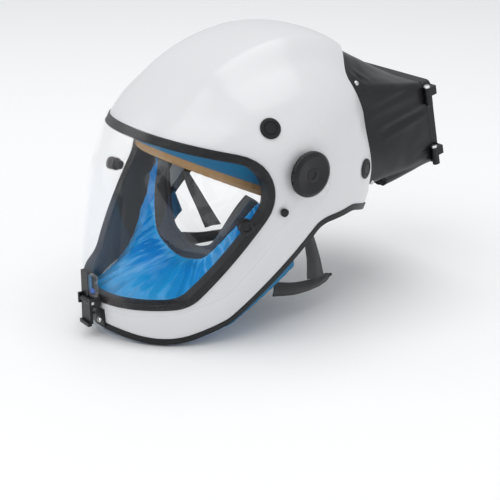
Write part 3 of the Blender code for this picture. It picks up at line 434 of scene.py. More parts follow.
def material_with(name, group, scale, rough):
    """A material, its tree, shader and effect node, with the roughness spread by the effect."""
    material = bpy.data.materials.new(name)
    material.use_nodes = True
    tree = material.node_tree
    shader = tree.nodes["Principled BSDF"]
    effect = tree.nodes.new("ShaderNodeGroup")
    effect.node_tree = GROUPS[group]
    effect.inputs[0].default_value = scale
    spread = tree.nodes.new("ShaderNodeMapRange")
    spread.inputs["To Min"].default_value, spread.inputs["To Max"].default_value = rough
    tree.links.new(effect.outputs[1], spread.inputs["Value"])
    tree.links.new(spread.outputs["Result"], shader.inputs["Roughness"])
    return material, tree, shader, effect


def finish(name, group, scale, dark, light, rough, bump, distance=0.0002, constants=None):
    """A material from one of the groups: two shades, two roughness values and a bump."""
    material, tree, shader, effect = material_with(name, group, scale, rough)
    tree.links.new(mixed_colour(tree, effect.outputs[1], dark, light), shader.inputs["Base Color"])
    relief = tree.nodes.new("ShaderNodeBump")
    set_inputs(relief, {"Strength": bump, "Distance": distance})
    tree.links.new(effect.outputs[0], relief.inputs["Height"])
    tree.links.new(relief.outputs["Normal"], shader.inputs["Normal"])
    set_inputs(shader, constants or {})
    return material


def glass(name, colour, alpha, roughness=0.03):
    """A clear plastic that shows what lies behind it."""
    material, _, shader, _ = material_with(name, "moulding", 40, (roughness, roughness * 2))
    set_inputs(shader, {"Base Color": (*colour, 1), "Alpha": alpha})
    set_inputs(shader, {"Transmission Weight": 1.0, "IOR": 1.49})
    return material


SLOT_LOOKS = {
    "shell": finish(
        "white_shell", "moulding", 260, (0.68, 0.683, 0.69), (0.71, 0.713, 0.72), (0.22, 0.3), 0.03,
        constants={"Coat Weight": 0.3, "Coat Roughness": 0.14},
    ),
    "clear_visor": glass("clear_visor", (0.90, 0.95, 0.99), 0.05),
    "clear_lens": glass("clear_lens", (0.86, 0.93, 0.97), 0.45, 0.05),
    "black_rubber": finish(
        "black_rubber", "moulding", 1400, (0.004, 0.004, 0.005), (0.008, 0.008, 0.009), (0.36, 0.5), 0.15,
        constants={"Specular IOR Level": 0.35},
    ),
    "black_plastic": finish(
        "black_plastic", "moulding", 1800, (0.004, 0.004, 0.005), (0.008, 0.008, 0.009), (0.28, 0.42), 0.2,
        constants={"Specular IOR Level": 0.4},
    ),
    "blue_cloth": finish(
        "blue_cloth", "weave", 1600, (0.006, 0.33, 0.78), (0.010, 0.44, 0.92), (0.22, 0.34), 0.2, 0.0001,
        {"Coat Weight": 0.6, "Coat Roughness": 0.15},
    ),
    "black_webbing": finish(
        "black_webbing", "weave", 1300, (0.008, 0.008, 0.009), (0.03, 0.03, 0.033), (0.6, 0.85), 0.8,
        0.0004, {"Sheen Weight": 0.2},
    ),
    "tan_leather": finish(
        "tan_leather", "leather", 900, (0.34, 0.19, 0.075), (0.52, 0.31, 0.13), (0.5, 0.75), 0.4
    ),
    "cover_leather": finish(
        "cover_leather", "leather", 520, (0.004, 0.004, 0.005), (0.009, 0.009, 0.01), (0.3, 0.45), 0.3,
        constants={"Specular IOR Level": 0.4},
    ),
    "steel": finish(
        "bright_steel", "moulding", 2500, (0.55, 0.55, 0.56), (0.66, 0.66, 0.67), (0.16, 0.3), 0.08,
        constants={"Metallic": 1.0},
    ),
    "grey_plastic": finish(
        "grey_plastic", "moulding", 1500, (0.25, 0.26, 0.27), (0.36, 0.37, 0.38), (0.35, 0.5), 0.15
    ),
    "filter_paper": finish(
        "filter_paper", "moulding", 2500, (0.74, 0.73, 0.68), (0.84, 0.83, 0.79), (0.85, 0.95), 0.5
    ),
    "circuit_board": finish(
        "circuit_board", "moulding", 900, (0.008, 0.09, 0.035), (0.015, 0.16, 0.06), (0.3, 0.5), 0.1
    ),
}
# Painted shade: a darker copy of blue_cloth for the cloth deep inside the helmet, standing in for the
# shade that falls there.
PAINTED_SHADE_BLUE = finish(
    "painted_shade_blue_cloth", "weave", 1600, (0.004, 0.12, 0.26), (0.006, 0.17, 0.34), (0.4, 0.6), 0.2, 0.0001
)
SPOT = finish(
    "blue_spot", "moulding", 900, (0.005, 0.09, 0.5), (0.01, 0.13, 0.6), (0.15, 0.25), 0.03,
    constants={"Coat Weight": 0.5},
)


# ---- making pieces


def placed(name, data):
    """A new object in the scene."""
    obj = bpy.data.objects.new(name, data)
    bpy.context.scene.collection.objects.link(obj)
    return obj


def smooth_by_angle(mesh, degrees=32):
    """Smooth shading that breaks at edges sharper than this."""
    bm = bmesh.new()
    bm.from_mesh(mesh)
    for face in bm.faces:
        face.smooth = True
    for edge in bm.edges:
        edge.smooth = len(edge.link_faces) != 2 or edge.calc_face_angle(0) < math.radians(degrees)
    bm.to_mesh(mesh)
    bm.free()


def piece(name, mesh, body, slot, replaces=(), sharp=32, look=None):
    """A finished piece of the object, with its slot's look unless another is given."""
    mesh.name = name
    mesh.materials.clear()
    mesh.materials.append(look or SLOT_LOOKS[slot])
    smooth_by_angle(mesh, sharp)
    obj = placed(name, mesh)
    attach(obj, body)
    if replaces:
        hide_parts(*replaces)
    return obj


def mesh_of(bm, scale=MM):
    """A mesh in metres from a bmesh that scale brings to metres."""
    for vert in bm.verts:
        vert.co *= scale
    mesh = bpy.data.meshes.new("mesh")
    bm.to_mesh(mesh)
    bm.free()
    return mesh


def bake(obj):
    """The object's mesh with its modifiers and its place applied, and the object itself removed."""
    bpy.context.view_layer.update()
    evaluated = obj.evaluated_get(bpy.context.evaluated_depsgraph_get())
    mesh = bpy.data.meshes.new_from_object(evaluated)
    mesh.transform(evaluated.matrix_world)
    bpy.data.objects.remove(obj)
    return mesh


def merge(bm, distance):
    """Makes points this close one, and turns all faces outwards."""
    bmesh.ops.remove_doubles(bm, verts=bm.verts, dist=distance)
    bmesh.ops.recalc_face_normals(bm, faces=bm.faces)


def surface_solid(offset):
    """The whole shell as a solid, its surface moved outwards by offset."""
    bm = bmesh.new()
    bmesh.ops.create_uvsphere(bm, u_segments=150, v_segments=96, radius=1)
    for vert in bm.verts:
        angle = view_angle(-vert.co.x, vert.co.y)
        vert.co = Vector(shell_point(angle, max(-1, min(1, vert.co.z)), offset))
    bmesh.ops.reverse_faces(bm, faces=bm.faces)  # the mapping mirrors the sphere
    return mesh_of(bm)


def loop_curve(points, dimensions):
    """A closed curve through points, which have two numbers each or three."""
    curve = bpy.data.curves.new("loop", "CURVE")
    curve.dimensions = dimensions
    spline = curve.splines.new("POLY")
    spline.points.add(len(points) - 1)
    for point, place in zip(spline.points, points):
        x, y, z = (*place, 0)[:3]
        point.co = (x * MM, y * MM, z * MM, 1)
    spline.use_cyclic_u = True
    return curve


def outline_solid(points, thickness):
    """A closed outline, filled and given a thickness about its plane."""
    curve = loop_curve(points, "2D")
    curve.fill_mode = "BOTH"
    curve.extrude = thickness / 2 * MM
    bm = bmesh.new()
    bm.from_mesh(bake(placed("helper", curve)))
    merge(bm, 1e-6)
    return mesh_of(bm, 1)


ALONG_X = Matrix(((0, 0, 1, 0), (1, 0, 0, 0), (0, 1, 0, 0), (0, 0, 0, 1)))
PRISM_WIDTH = 400.0


def side_prism(points):
    """A side-view outline drawn out across the whole helmet."""
    mesh = outline_solid(points, PRISM_WIDTH)
    mesh.transform(ALONG_X)
    return mesh


def turned(profile, place, along, steps=64, ripple=None):
    """A profile (radius, height) spun round the direction along, closed on its axis."""
    bm = bmesh.new()
    verts = [bm.verts.new((radius, 0, height)) for radius, height in profile]
    edges = [bm.edges.new(pair) for pair in zip(verts, verts[1:])]
    bmesh.ops.spin(
        bm, geom=verts + edges, axis=(0, 0, 1), cent=(0, 0, 0), angle=math.tau, steps=steps,
        use_merge=True,
    )
    merge(bm, 1e-4)
    if ripple:
        for vert in bm.verts:
            vert.co = ripple(vert.co)
    turn = Vector(along).to_track_quat("Z", "Y").to_matrix().to_4x4()
    bmesh.ops.transform(bm, matrix=Matrix.Translation(Vector(place)) @ turn, verts=bm.verts)
    return mesh_of(bm)


def rounded_box(low, high, edge):
    """A box between two corners, its edges rounded."""
    bm = bmesh.new()
    bmesh.ops.create_cube(bm, size=1)
    bmesh.ops.scale(bm, vec=[b - a for a, b in zip(low, high)], verts=bm.verts)
    bmesh.ops.translate(bm, vec=[(a + b) / 2 for a, b in zip(low, high)], verts=bm.verts)
    bmesh.ops.bevel(
        bm, geom=bm.edges, offset=edge, segments=4, affect="EDGES", profile=0.5, material=-1,
        offset_type="OFFSET", clamp_overlap=True,
    )
    return mesh_of(bm)


def cut(mesh, steps):
    """The mesh after Booleans with each (operation, other mesh) in turn."""
    obj = placed("helper", mesh)
    others = []
    for operation, other in steps:
        modifier = obj.modifiers.new("cut", "BOOLEAN")
        modifier.operation = operation
        modifier.solver = "EXACT"
        modifier.object = placed("helper", other)
        others.append(modifier.object)
    made = bake(obj)
    for other in others:
        bpy.data.objects.remove(other)
    return made


def rod(point, along, radius, half_length):
    """A cutter for a round hole through this point."""
    profile = [(0, half_length), (radius, half_length), (radius, -half_length), (0, -half_length)]
    return turned(profile, point, along, 40)


def drill(place, side, radius):
    """A cutter square to the shell at this place in side view."""
    return rod(*on_side(place, side), radius, 14)


def rear_region():
    """The side-view outline of all that lies behind the shell's rear edge."""
    return list(REAR_EDGE) + [(320, REAR_EDGE[-1][1]), (320, REAR_EDGE[0][1])]


def surface_layer(low, high, keep, remove=(), more=()):
    """The layer between two offsets, inside one side-view outline and outside others."""
    steps = [("DIFFERENCE", surface_solid(low)), ("INTERSECT", side_prism(keep))]
    steps += [("DIFFERENCE", side_prism(outline)) for outline in remove]
    return cut(surface_solid(high), steps + list(more))


def laid_grid(place, rows, columns, size=None):
    """A grid laid by place(u, v), with a UV map in metres where the sheet's size is given."""
    bm = bmesh.new()
    uv = bm.loops.layers.uv.new("UVMap") if size else None
    bmesh.ops.create_grid(bm, x_segments=rows, y_segments=columns, size=1)
    for face in bm.faces if size else ():
        for loop in face.loops:
            x, y = loop.vert.co.x, loop.vert.co.y
            loop[uv].uv = ((x + 1) / 2 * size[0] * MM, (y + 1) / 2 * size[1] * MM)
    for vert in bm.verts:
        vert.co = Vector(place((vert.co.x + 1) / 2, (vert.co.y + 1) / 2))
    return bm


def walled(bm, thickness, offset, levels=0):
    """The surface given a wall: on both sides of it at offset 0, inside it at -1."""
    obj = placed("helper", mesh_of(bm))
    if levels:
        surface = obj.modifiers.new("surface", "SUBSURF")
        surface.levels = surface.render_levels = levels
    wall = obj.modifiers.new("wall", "SOLIDIFY")
    wall.thickness = thickness * MM
    wall.offset = offset
    return bake(obj)


def sheet_mesh(place, rows, columns, size, thickness, levels=0):
    """A sheet laid by place(u, v)."""
    return walled(laid_grid(place, rows, columns, size), thickness, 0, levels)


def bead(points, radius):
    """A round bead along a closed loop of points."""
    curve = loop_curve(points, "3D")
    curve.bevel_depth = radius * MM
    curve.bevel_resolution = 3
    return bake(placed("helper", curve))


def joined(meshes):
    """One mesh that holds all of these."""
    bm = bmesh.new()
    for mesh in meshes:
        bm.from_mesh(mesh)
    return mesh_of(bm, 1)


# ---- shell, edging and visor


def make_shell():
    steps = [
        ("DIFFERENCE", surface_solid(-SHELL_WALL)),
        ("DIFFERENCE", side_prism(rounded(EYEPORT))),
        ("DIFFERENCE", side_prism(rounded(grown(BELOW_RIM, TRIM_HEIGHT + GAP)))),
        ("DIFFERENCE", side_prism(rear_region())),
    ]
    for _, side in SIDES:
        steps.append(("DIFFERENCE", drill((0, 0), side, PIVOT_HOLE)))
        steps += [("DIFFERENCE", drill(place, side, PLUG_RADIUS - 2)) for place in PLUG_PLACES.values()]
    piece("helmet_shell", cut(surface_solid(0), steps), "helmet", "shell", ["shell"])


def outline_on_surface(outline, offset):
    """A side-view outline laid on the shell, as one closed loop over the front from left to right."""
    points = []
    for (y0, z0), (y1, z1) in zip(outline, outline[1:] + outline[:1]):
        steps = max(int(math.hypot(y1 - y0, z1 - z0) / 4), 1)
        points += [(y0 + (y1 - y0) * k / steps, z0 + (z1 - z0) * k / steps) for k in range(steps)]
    inside = [math.hypot(y, z) < reach(view_angle(y, z)) + offset - GAP for y, z in points]
    start = next(i for i in range(len(points)) if inside[i] and not inside[i - 1])
    run = [points[(start + k) % len(points)] for k in range(inside.count(True))]
    left = [Vector((surface_x(y, z, offset), y, z)) for y, z in run]
    return left + [Vector((-p.x, p.y, p.z)) for p in reversed(left)]


def make_edging():
    """The gasket round the eyeport with its lip, and the trim round the bottom rim."""
    inner = grown(EYEPORT, -GASKET_WIDTH)
    gasket = surface_layer(-GASKET_DEPTH, GASKET_PROUD, rounded(grown(EYEPORT, -GAP)), [rounded(inner)])
    piece("eyeport_edging", gasket, "helmet", "black_rubber", ["eyeport_gasket"])
    lip = outline_on_surface(rounded(grown(EYEPORT, -GASKET_WIDTH + LIP_INSET)), GASKET_PROUD)
    piece("eyeport_lip", bead(lip, LIP_RADIUS), "helmet", "black_rubber", look=SLOT_LOOKS["black_plastic"])
    above = rounded(grown(BELOW_RIM, TRIM_HEIGHT))
    trim = surface_layer(-SHELL_WALL - TRIM_INSIDE, TRIM_PROUD, above, [rounded(BELOW_RIM), rear_region()])
    piece("rim_edging", trim, "helmet", "black_rubber", ["bottom_trim"])


LINING_EDGE = (
    (-200, 60, 0), (-200, -128, 0), (-120, -140, 20), (-70, -130, 20), (6, -50, 30), (16, 60, 20),
)


def make_lining():
    """The black inner wall round the eyeport."""
    outside = -SHELL_WALL - GAP
    lining = surface_layer(outside - LINING_THICKNESS, outside, rounded(LINING_EDGE), [rounded(EYEPORT)])
    piece("inner_lining", lining, "helmet", "black_rubber")


def make_visor():
    bores = (((0, 0), 5.0), (POST_PLACE, 2.8), (VISOR_PLUG_PLACE, VISOR_PLUG_RADIUS + GAP))
    holes = [("DIFFERENCE", drill(place, side, radius)) for _, side in SIDES for place, radius in bores]
    visor = surface_layer(VISOR_GAP, VISOR_FACE, rounded(VISOR_EDGE), (), holes)
    piece("clear_shield", visor, "visor", "clear_visor", ["visor"])


def knurl(radius, count, depth):
    """A change of shape that grooves the outermost millimetre of a disc."""

    def ripple(co):
        r = math.hypot(co.x, co.y)
        if r < radius - 1.0:
            return co
        wave = depth * (0.5 + 0.5 * math.cos(count * math.atan2(co.y, co.x)))
        return Vector((co.x * (r - wave) / r, co.y * (r - wave) / r, co.z))

    return ripple


def make_pivots():
    base = VISOR_FACE + GAP
    top = base + KNOB_THICKNESS
    bolt_end = top - 2 + GAP
    r = KNOB_RADIUS
    middle = [(0, top - 1.6), (3.2, top - 1.5), (3.6, top - 0.7), (6.4, top - 0.6), (7.2, top - 0.9)]
    ring = [(8.0, top - 0.6), (15.4, top - 0.3), (16.4, top), (17.6, top), (18.6, top - 0.5)]
    rim = [(19.4, top - 1.4), (r - 0.7, top - 1.9), (r, top - 2.8), (r, base + 0.5), (r - 0.5, base)]
    bore = [(PIVOT_HOLE, base), (PIVOT_HOLE, bolt_end), (0, bolt_end)]
    for word, side in SIDES:
        pole = (SHELL_HALF_WIDTH * side, 0, 0)
        mesh = turned(middle + ring + rim + bore, pole, (side, 0, 0), 192, knurl(r, 48, 0.45))
        piece(f"visor_knob_{word}", mesh, f"knob_{word}", "black_plastic", [f"pivot_knob_{word}"], 40)


def make_visor_fittings():
    """On each side the film's post and the small plug, both on the visor."""
    seat = VISOR_FACE + GAP + 0.4
    r = POST_RADIUS
    top = seat + POST_HEIGHT
    post = [
        (0, top - 1.2), (3.0, top - 1.2), (3.6, top), (r - 1.2, top), (r - 0.3, top - 0.4), (r, top - 1.4),
        (r, top - 3.4), (r - 1.4, top - 4.6), (r - 1.4, seat + 1.6), (r, seat + 0.8), (r, seat),
        (2.5, seat), (2.5, 1.0), (4.6, 1.0), (4.6, -1.0), (0, -1.0),
    ]
    r, face = VISOR_PLUG_RADIUS, VISOR_FACE
    plug = [
        (0, face + 1.3), (1.6, face + 1.2), (2.2, face + 0.8), (r - 0.7, face + 1.0), (r, face + 0.4),
        (r, VISOR_GAP), (0, VISOR_GAP),
    ]
    for word, side in SIDES:
        mesh = turned(post, *on_side(POST_PLACE, side), 48)
        piece(f"post_{word}", mesh, "visor", "black_plastic", [f"film_post_{word}"], 40)
        mesh = turned(plug, *on_side(VISOR_PLUG_PLACE, side), 32)
        piece(f"stud_{word}", mesh, "visor", "black_rubber", [f"visor_plug_{word}"])


def make_harness_plugs():
    """The soft round caps over the harness fixings, with a stem through the shell."""
    r, stem = PLUG_RADIUS, PLUG_RADIUS - 2.3
    cap = [
        (0, 1.4), (r - 4.6, 1.5), (r - 4.2, 1.0), (r - 3.6, 1.0), (r - 3.2, 1.5), (r - 1.4, 1.35),
        (r - 0.4, 1.0), (r, 0.5), (r, 0.35), (stem, 0.35), (stem, -SHELL_WALL - 3), (0, -SHELL_WALL - 3),
    ]
    for row, place in PLUG_PLACES.items():
        for word, side in SIDES:
            mesh = turned(cap, *on_side(place, side), 64)
            node = f"harness_plug_{row}_{word}"
            piece(f"plug_{row}_{word}", mesh, "helmet", "black_rubber", [node])


def make_lens():
    """The clear lens beside the latch and the blue spot behind it."""
    low, high = [Vector(corner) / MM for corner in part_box("signal_lens")]
    lens = rounded_box(low, high, 1.6)
    piece("latch_lens", lens, "visor", "clear_lens", ["signal_lens"])
    middle = (low + high) / 2
    dot = [(0, 0.6), (1.9, 0.5), (2.4, 0), (2.4, -1.2), (0, -1.2)]
    spot = turned(dot, (middle.x, low.y + 2.2, low.z + 5.5), (0, -1, 0), 32)
    piece("lens_spot", spot, "visor", "clear_lens", look=SPOT)


# ---- harness


def band_point(turn, outward, height):
    """A point round the headband: degrees from the front, millimetres off it and up it."""
    t = math.radians(turn)
    x = (BAND_HALF_WIDTH + outward) * math.sin(t)
    y = BAND_CENTRE_Y - (BAND_HALF_LENGTH + outward) * math.cos(t)
    centre_y = BAND_CENTRE_Y - BAND_HALF_LENGTH * math.cos(t)
    return x, y, BAND_FRONT_Z - BAND_SLOPE * (centre_y - BAND_CENTRE_Y + BAND_HALF_LENGTH) + height


def make_sweatband():
    """The tan strip folded round the headband's lower edge, over its front."""
    h = BAND_HEIGHT
    outwards = (2.6, 2.9, 2.6, 0, -3.2, -4.0, -3.2)
    heights = (h - 2, h * 0.6, 3, -1, 3, h * 0.5, h - 2)
    sweep = 100

    def place(u, v):
        outward, height = (float(np.interp(v * 6, range(7), row)) for row in (outwards, heights))
        pucker = 0.25 * math.sin(u * 70 * math.pi) * ramp(v * 3) * ramp((1 - v) * 3)
        return band_point(sweep * (2 * u - 1), outward + pucker, height)

    mesh = sheet_mesh(place, 260, 24, (270, 60), 1.6)
    band = piece("forehead_band", mesh, "helmet", "tan_leather", ["sweatband"])


def make_crown_straps():
    """Two straps that cross at the crown, the second on top of the first."""
    h = BAND_HEIGHT
    straps = (("crown_strap_front", (30, 210), 0.0), ("crown_strap_side", (-30, 150), 6.0))
    for node, turns, lift in straps:
        ends = [Vector(band_point(turn, 5, h - 4)) for turn in turns]
        top = Vector((0, BAND_CENTRE_Y, CROWN_TOP + lift))
        across = (ends[1] - ends[0]).cross(Vector((0, 0, 1))).normalized() * CROWN_WIDTH / 2
        over = [Vector(band_point(turn, 4.4, h + 4)) for turn in turns]
        shoulders = [Vector((e.x * 0.62, e.y * 0.62, e.z + 0.68 * (top.z - e.z))) for e in ends]
        path = [ends[0], over[0], shoulders[0], top, shoulders[1], over[1], ends[1]]

        def place(u, v, path=path, across=across):
            return smooth_path(path, u) + across * (2 * v - 1)

        mesh = sheet_mesh(place, 90, 8, (310, CROWN_WIDTH), 1.4)
        piece(f"{node}_webbing", mesh, "helmet", "black_webbing", [node])


# Middle line of the face band, from the left temple round the chin to the middle
FACE_OPENING_HALF = (
    (76, -29, -31), (69, -33, -41), (60, -40, -56), (40, -50, -86), (20, -51, -97), (0, -51, -101),
)
FACE_OPENING = FACE_OPENING_HALF + tuple((-x, y, z) for x, y, z in FACE_OPENING_HALF[-2::-1])
# Where the seal meets the shell, in side view
SEAL_ROOT = ((-12, -42), (-34, -82), (-45, -104), (-66, -124), (-92, -136), (-122, -138))


@functools.cache
def seal_edge():
    """Where the seal meets the shell on the left: from the temple to the chin."""
    left = [Vector((surface_x(y, z, -SEAL_INSET), y, z)) for y, z in SEAL_ROOT]
    z = SEAL_ROOT[-1][1]
    left.append(Vector((0, front_y(z, -GASKET_DEPTH - 1.5), z)))
    return left


def seal_root(t):
    """The seal's outer edge, from the left temple at 0 round the chin to the right temple at 1."""
    side = 1 if t < 0.5 else -1
    point = smooth_path(seal_edge(), min(t, 1 - t) * 2)
    point.x *= side
    return point


def band_frame(u):
    """The face band's middle at u, the direction across it and the way its front faces."""
    side = math.copysign(1, 0.5 - u)
    chin = ramp(1 - abs(2 * u - 1))
    across = Vector((side * (1 - chin), -0.9 * chin, -0.1 - 0.35 * chin)).normalized()
    along = smooth_path(FACE_OPENING, min(u + 0.004, 1)) - smooth_path(FACE_OPENING, max(u - 0.004, 0))
    front = along.cross(across).normalized()
    if front.y - front.z > 0:
        front = -front
    return smooth_path(FACE_OPENING, u), across, front


def make_face_seal():
    """The gathered cloth from the face band to the shell: sharp pleats that fade outwards."""
    pleats, pleat_depth, belly_depth = 31, 10.0, 5.0

    def place(u, v):
        middle, across, front = band_frame(u)
        inner, outer = middle + across * (FACE_BAND_HALF_WIDTH - 2.0), seal_root(u)
        swell = noise.noise(Vector((u * 8, v * 1.5, 0.3)))
        phase = u * pleats * math.pi + 1.6 * noise.noise(Vector((u * 17, 0.0, 2.0))) + 0.9 * v * swell
        ridge = 1 - abs(math.sin(phase)) ** 0.75
        size = 0.55 + 0.9 * abs(noise.noise(Vector((u * 27, v * 0.8, 5.0))))
        depth = pleat_depth * ramp(v * 5) * (1 - 0.8 * ramp((v - 0.15) / 0.8)) * size
        fine = 0.8 * math.sin(u * 118 * math.pi + 3 * swell) * ramp(v * 8) * (1 - ramp(v * 1.6))
        crumple = 1.5 * noise.noise(Vector((u * 36, v * 7, 8.0))) * math.sin(math.pi * v)
        belly = belly_depth * math.sin(math.pi * v) * (0.6 + swell)
        return inner.lerp(outer, v) + front * (ridge * depth - 0.4 * depth + fine + crumple + belly)

    mesh = sheet_mesh(place, 640, 40, (330, 70), SEAL_THICKNESS)
    cloth = piece("face_seal_cloth", mesh, "helmet", "blue_cloth", ["face_seal"], 60)


def make_brow_cloth():
    """The smooth upper part of the seal, from the headband's front up to the shell above the eyeport."""

    def wall_point(turn):
        start = Vector(band_point(turn, 5.5, 9))
        t = math.radians(turn)
        way = Vector((math.sin(t), -math.cos(t), 1.2 + 1.8 * math.cos(t) ** 2))
        d = farthest(0.0, 80.0, lambda d: inside_surface(*(start + way * d), -SEAL_INSET))
        return start, start + way * d

    sweep, rows = 84, 60
    edges = [wall_point(sweep * (2 * k / rows - 1)) for k in range(rows + 1)]

    def place(u, v):
        inner, outer = edges[round(u * rows)]
        wrinkle = 1.2 * noise.noise(Vector((u * 16, v * 3, 4.0))) * math.sin(math.pi * v)
        pleat = 0.5 * math.sin(u * 60 * math.pi) * ramp(v * 6) * (1 - ramp(v * 1.4))
        return inner.lerp(outer, v) + Vector((0, -1, -0.4)) * (wrinkle + pleat)

    mesh = sheet_mesh(place, rows, 14, (270, 34), SEAL_THICKNESS, levels=1)
    # The darker blue look here is painted shade for the brow cloth inside the helmet.
    cloth = piece("brow_seal_cloth", mesh, "helmet", "blue_cloth", (), 60, look=PAINTED_SHADE_BLUE)


def make_face_band():
    """The soft band round the face opening, with a seam near each edge."""

    def place(u, v):
        middle, across, front = band_frame(u)
        turn = math.tau * v
        wide, deep = FACE_BAND_HALF_WIDTH * math.cos(turn), FACE_BAND_HALF_THICKNESS * math.sin(turn)
        seam = 0.6 * math.exp(-(((wide + 6) / 0.8) ** 2)) + 0.4 * math.exp(-(((wide - 7) / 0.8) ** 2))
        pucker = 0.25 * math.sin(u * 120 * math.pi) * ramp((wide + 10) / 20)
        return middle + across * wide + front * (deep * (1 - seam) + (pucker if deep > 0 else 0))

    bm = laid_grid(place, 300, 48, (260, 46))
    bmesh.ops.remove_doubles(bm, verts=bm.verts, dist=1e-3)
    bmesh.ops.holes_fill(bm, edges=bm.edges, sides=100)
    bmesh.ops.recalc_face_normals(bm, faces=bm.faces)
    piece("face_seal_band", mesh_of(bm), "helmet", "black_webbing", ["face_band"], 60)


def make_neck_cloth():
    """The cloth that hangs inside the bottom rim, round the chin."""

    def place(u, v):
        side = math.copysign(1, 0.5 - u)
        t = min(u, 1 - u) * 2
        y = NECK_CLOTH_REAR + t * (NECK_CLOTH_FRONT - NECK_CLOTH_REAR)
        rim = float(np.interp(y, (-126, -90, -62, 12), (-158, -152, -140, -74))) + 8
        x = surface_x(y, rim, -NECK_CLOTH_INSET) * (1 - ramp((t - 0.82) / 0.18))
        drop = (22 - 12 * t) * v
        phase = u * 70 * math.pi + 2 * noise.noise(Vector((u * 20, 0, 1)))
        ripple = math.sin(phase) * 0.4 * ramp(v * 2)
        outwards = x * (1 - 0.05 * v) + ripple * 0.7 - 0.6
        return side * outwards, y + 6 * v, rim - drop - abs(ripple) * 0.4 * v

    mesh = sheet_mesh(place, 360, 16, (390, 22), NECK_CLOTH_THICKNESS)
    # The darker blue look here is painted shade for the neck cloth inside the rim.
    cloth = piece("neck_seal_cloth", mesh, "helmet", "blue_cloth", ["neck_cloth"], 60, look=PAINTED_SHADE_BLUE)


def make_neck_straps():
    """On each side a strap that hangs from the shell and one that runs back under the jaw."""
    drop = ((103, 16, -60), (101, 20, -72), (95, 31, -98), (88, 40, -121))
    run = ((86, -8, -124), (87, 18, -129), (85, 46, -130), (80, 68, -128))
    for word, side in SIDES:

        def hanging(u, v, side=side):
            p = smooth_path(drop, u)
            curl = 0.8 * math.cos(math.pi * (2 * v - 1)) + 0.5 * noise.noise(Vector((u * 5, v * 2, side)))
            return side * (p.x + curl), p.y + (2 * v - 1) * (3 + 7 * u), p.z

        def level(u, v, side=side):
            p = smooth_path(run, u)
            width = (7.5 - 3.5 * u) * (1 - 0.7 * ramp((u - 0.86) / 0.14))
            curl = 0.8 * math.cos(math.pi * (2 * v - 1)) + 0.6 * noise.noise(Vector((u * 6, v * 2, side)))
            return side * (p.x - 2.4 + curl), p.y, p.z + (2 * v - 1) * width

        mesh = sheet_mesh(hanging, 60, 14, (70, 20), STRAP_THICKNESS)
        piece(f"neck_drop_{word}", mesh, "helmet", "black_webbing", [f"neck_strap_drop_{word}"])
        mesh = sheet_mesh(level, 80, 14, (80, 15), STRAP_THICKNESS)
        piece(f"neck_run_{word}", mesh, "helmet", "black_webbing", [f"neck_strap_run_{word}"])


# ---- filter unit


def unit_to_world(local):
    """A point of the tilted filter unit's own frame, brought into the helmet's."""
    x, y, z = local
    c, s = math.cos(UNIT_TILT), math.sin(UNIT_TILT)
    return Vector((x, UNIT_CENTRE[1] + y * c - z * s, UNIT_CENTRE[2] + y * s + z * c))


def world_to_unit(point):
    c, s = math.cos(UNIT_TILT), math.sin(UNIT_TILT)
    x, y, z = Vector(point) - Vector(UNIT_CENTRE)
    return Vector((x, y * c + z * s, -y * s + z * c))


def inside_surface(x, y, z, offset):
    """Whether the point lies inside the offset surface."""
    r, angle = math.hypot(y, z), view_angle(y, z)
    p, half = fullness(angle), SHELL_HALF_WIDTH + offset
    if abs(x) >= half:
        return False
    limit = (reach(angle) + offset) * (1 - (abs(x) / half) ** p) ** (1 / p)
    return r < limit - lowering(angle, x, r)


@functools.cache
def cover_front(turn, back):
    """The cover's outline this far behind the shell's edge, at an angle about the spine."""
    c, s = math.cos(turn), math.sin(turn)

    def point(d):
        z = SPINE_Z + d * s
        return d * c, rear_edge_y(z) + back + 12 * ramp((-40 - z) / 12), z

    def inside(d):
        return point(d)[2] > UNIT_FLOOR_Z and inside_surface(*point(d), -COVER_INSET)

    return Vector(point(farthest(10.0, 160.0, inside)))


def cover_rear(turn, y_local):
    """The rounded rectangle of the cover's rear part, at this depth of the unit's own frame."""
    c, s = abs(math.cos(turn)), abs(math.sin(turn))
    d = min(UNIT_HALF_WIDTH / max(c, 1e-9), UNIT_HALF_HEIGHT / max(s, 1e-9))
    a, b = UNIT_HALF_WIDTH - UNIT_CORNER, UNIT_HALF_HEIGHT - UNIT_CORNER
    if d * c > a and d * s > b:
        along = a * c + b * s
        d = along + math.sqrt(along**2 - a * a - b * b + UNIT_CORNER**2)
    return unit_to_world((d * math.cos(turn), y_local, d * math.sin(turn)))


def cover_turns(spacing):
    """The angles of points spaced evenly round the rear outline."""
    w, h = UNIT_HALF_WIDTH, UNIT_HALF_HEIGHT
    corners = rounded(box_corners(-w, w, -h, h, UNIT_CORNER), 8)
    turns = []
    for (x0, z0), (x1, z1) in zip(corners, corners[1:] + corners[:1]):
        steps = max(round(math.hypot(x1 - x0, z1 - z0) / spacing), 1)
        turns += [math.atan2(z0 + (z1 - z0) * k / steps, x0 + (x1 - x0) * k / steps) for k in range(steps)]
    return turns[::-1]


# Creases on the left side: start, end, depth and width, in x, y and z
CREASES = (
    ((80, 104, 28), (76, 176, 48), 2.2, 5.0),
    ((80, 121, 7), (76, 193, 24), 2.4, 5.0),
    ((76, 165, -26), (76, 201, -20), 1.8, 4.0),
    ((60, 100, 72), (66, 116, 52), 1.8, 4.0),
    ((72, 100, 60), (72, 112, 44), 1.5, 3.0),
)


def distance_to(point, start, end):
    """How far the point is from a line, and how far along the line its foot lies, from 0 to 1."""
    start, end = Vector(start), Vector(end)
    t = max(0, min(1, (point - start).dot(end - start) / (end - start).length_squared))
    return (point - start - (end - start) * t).length, t


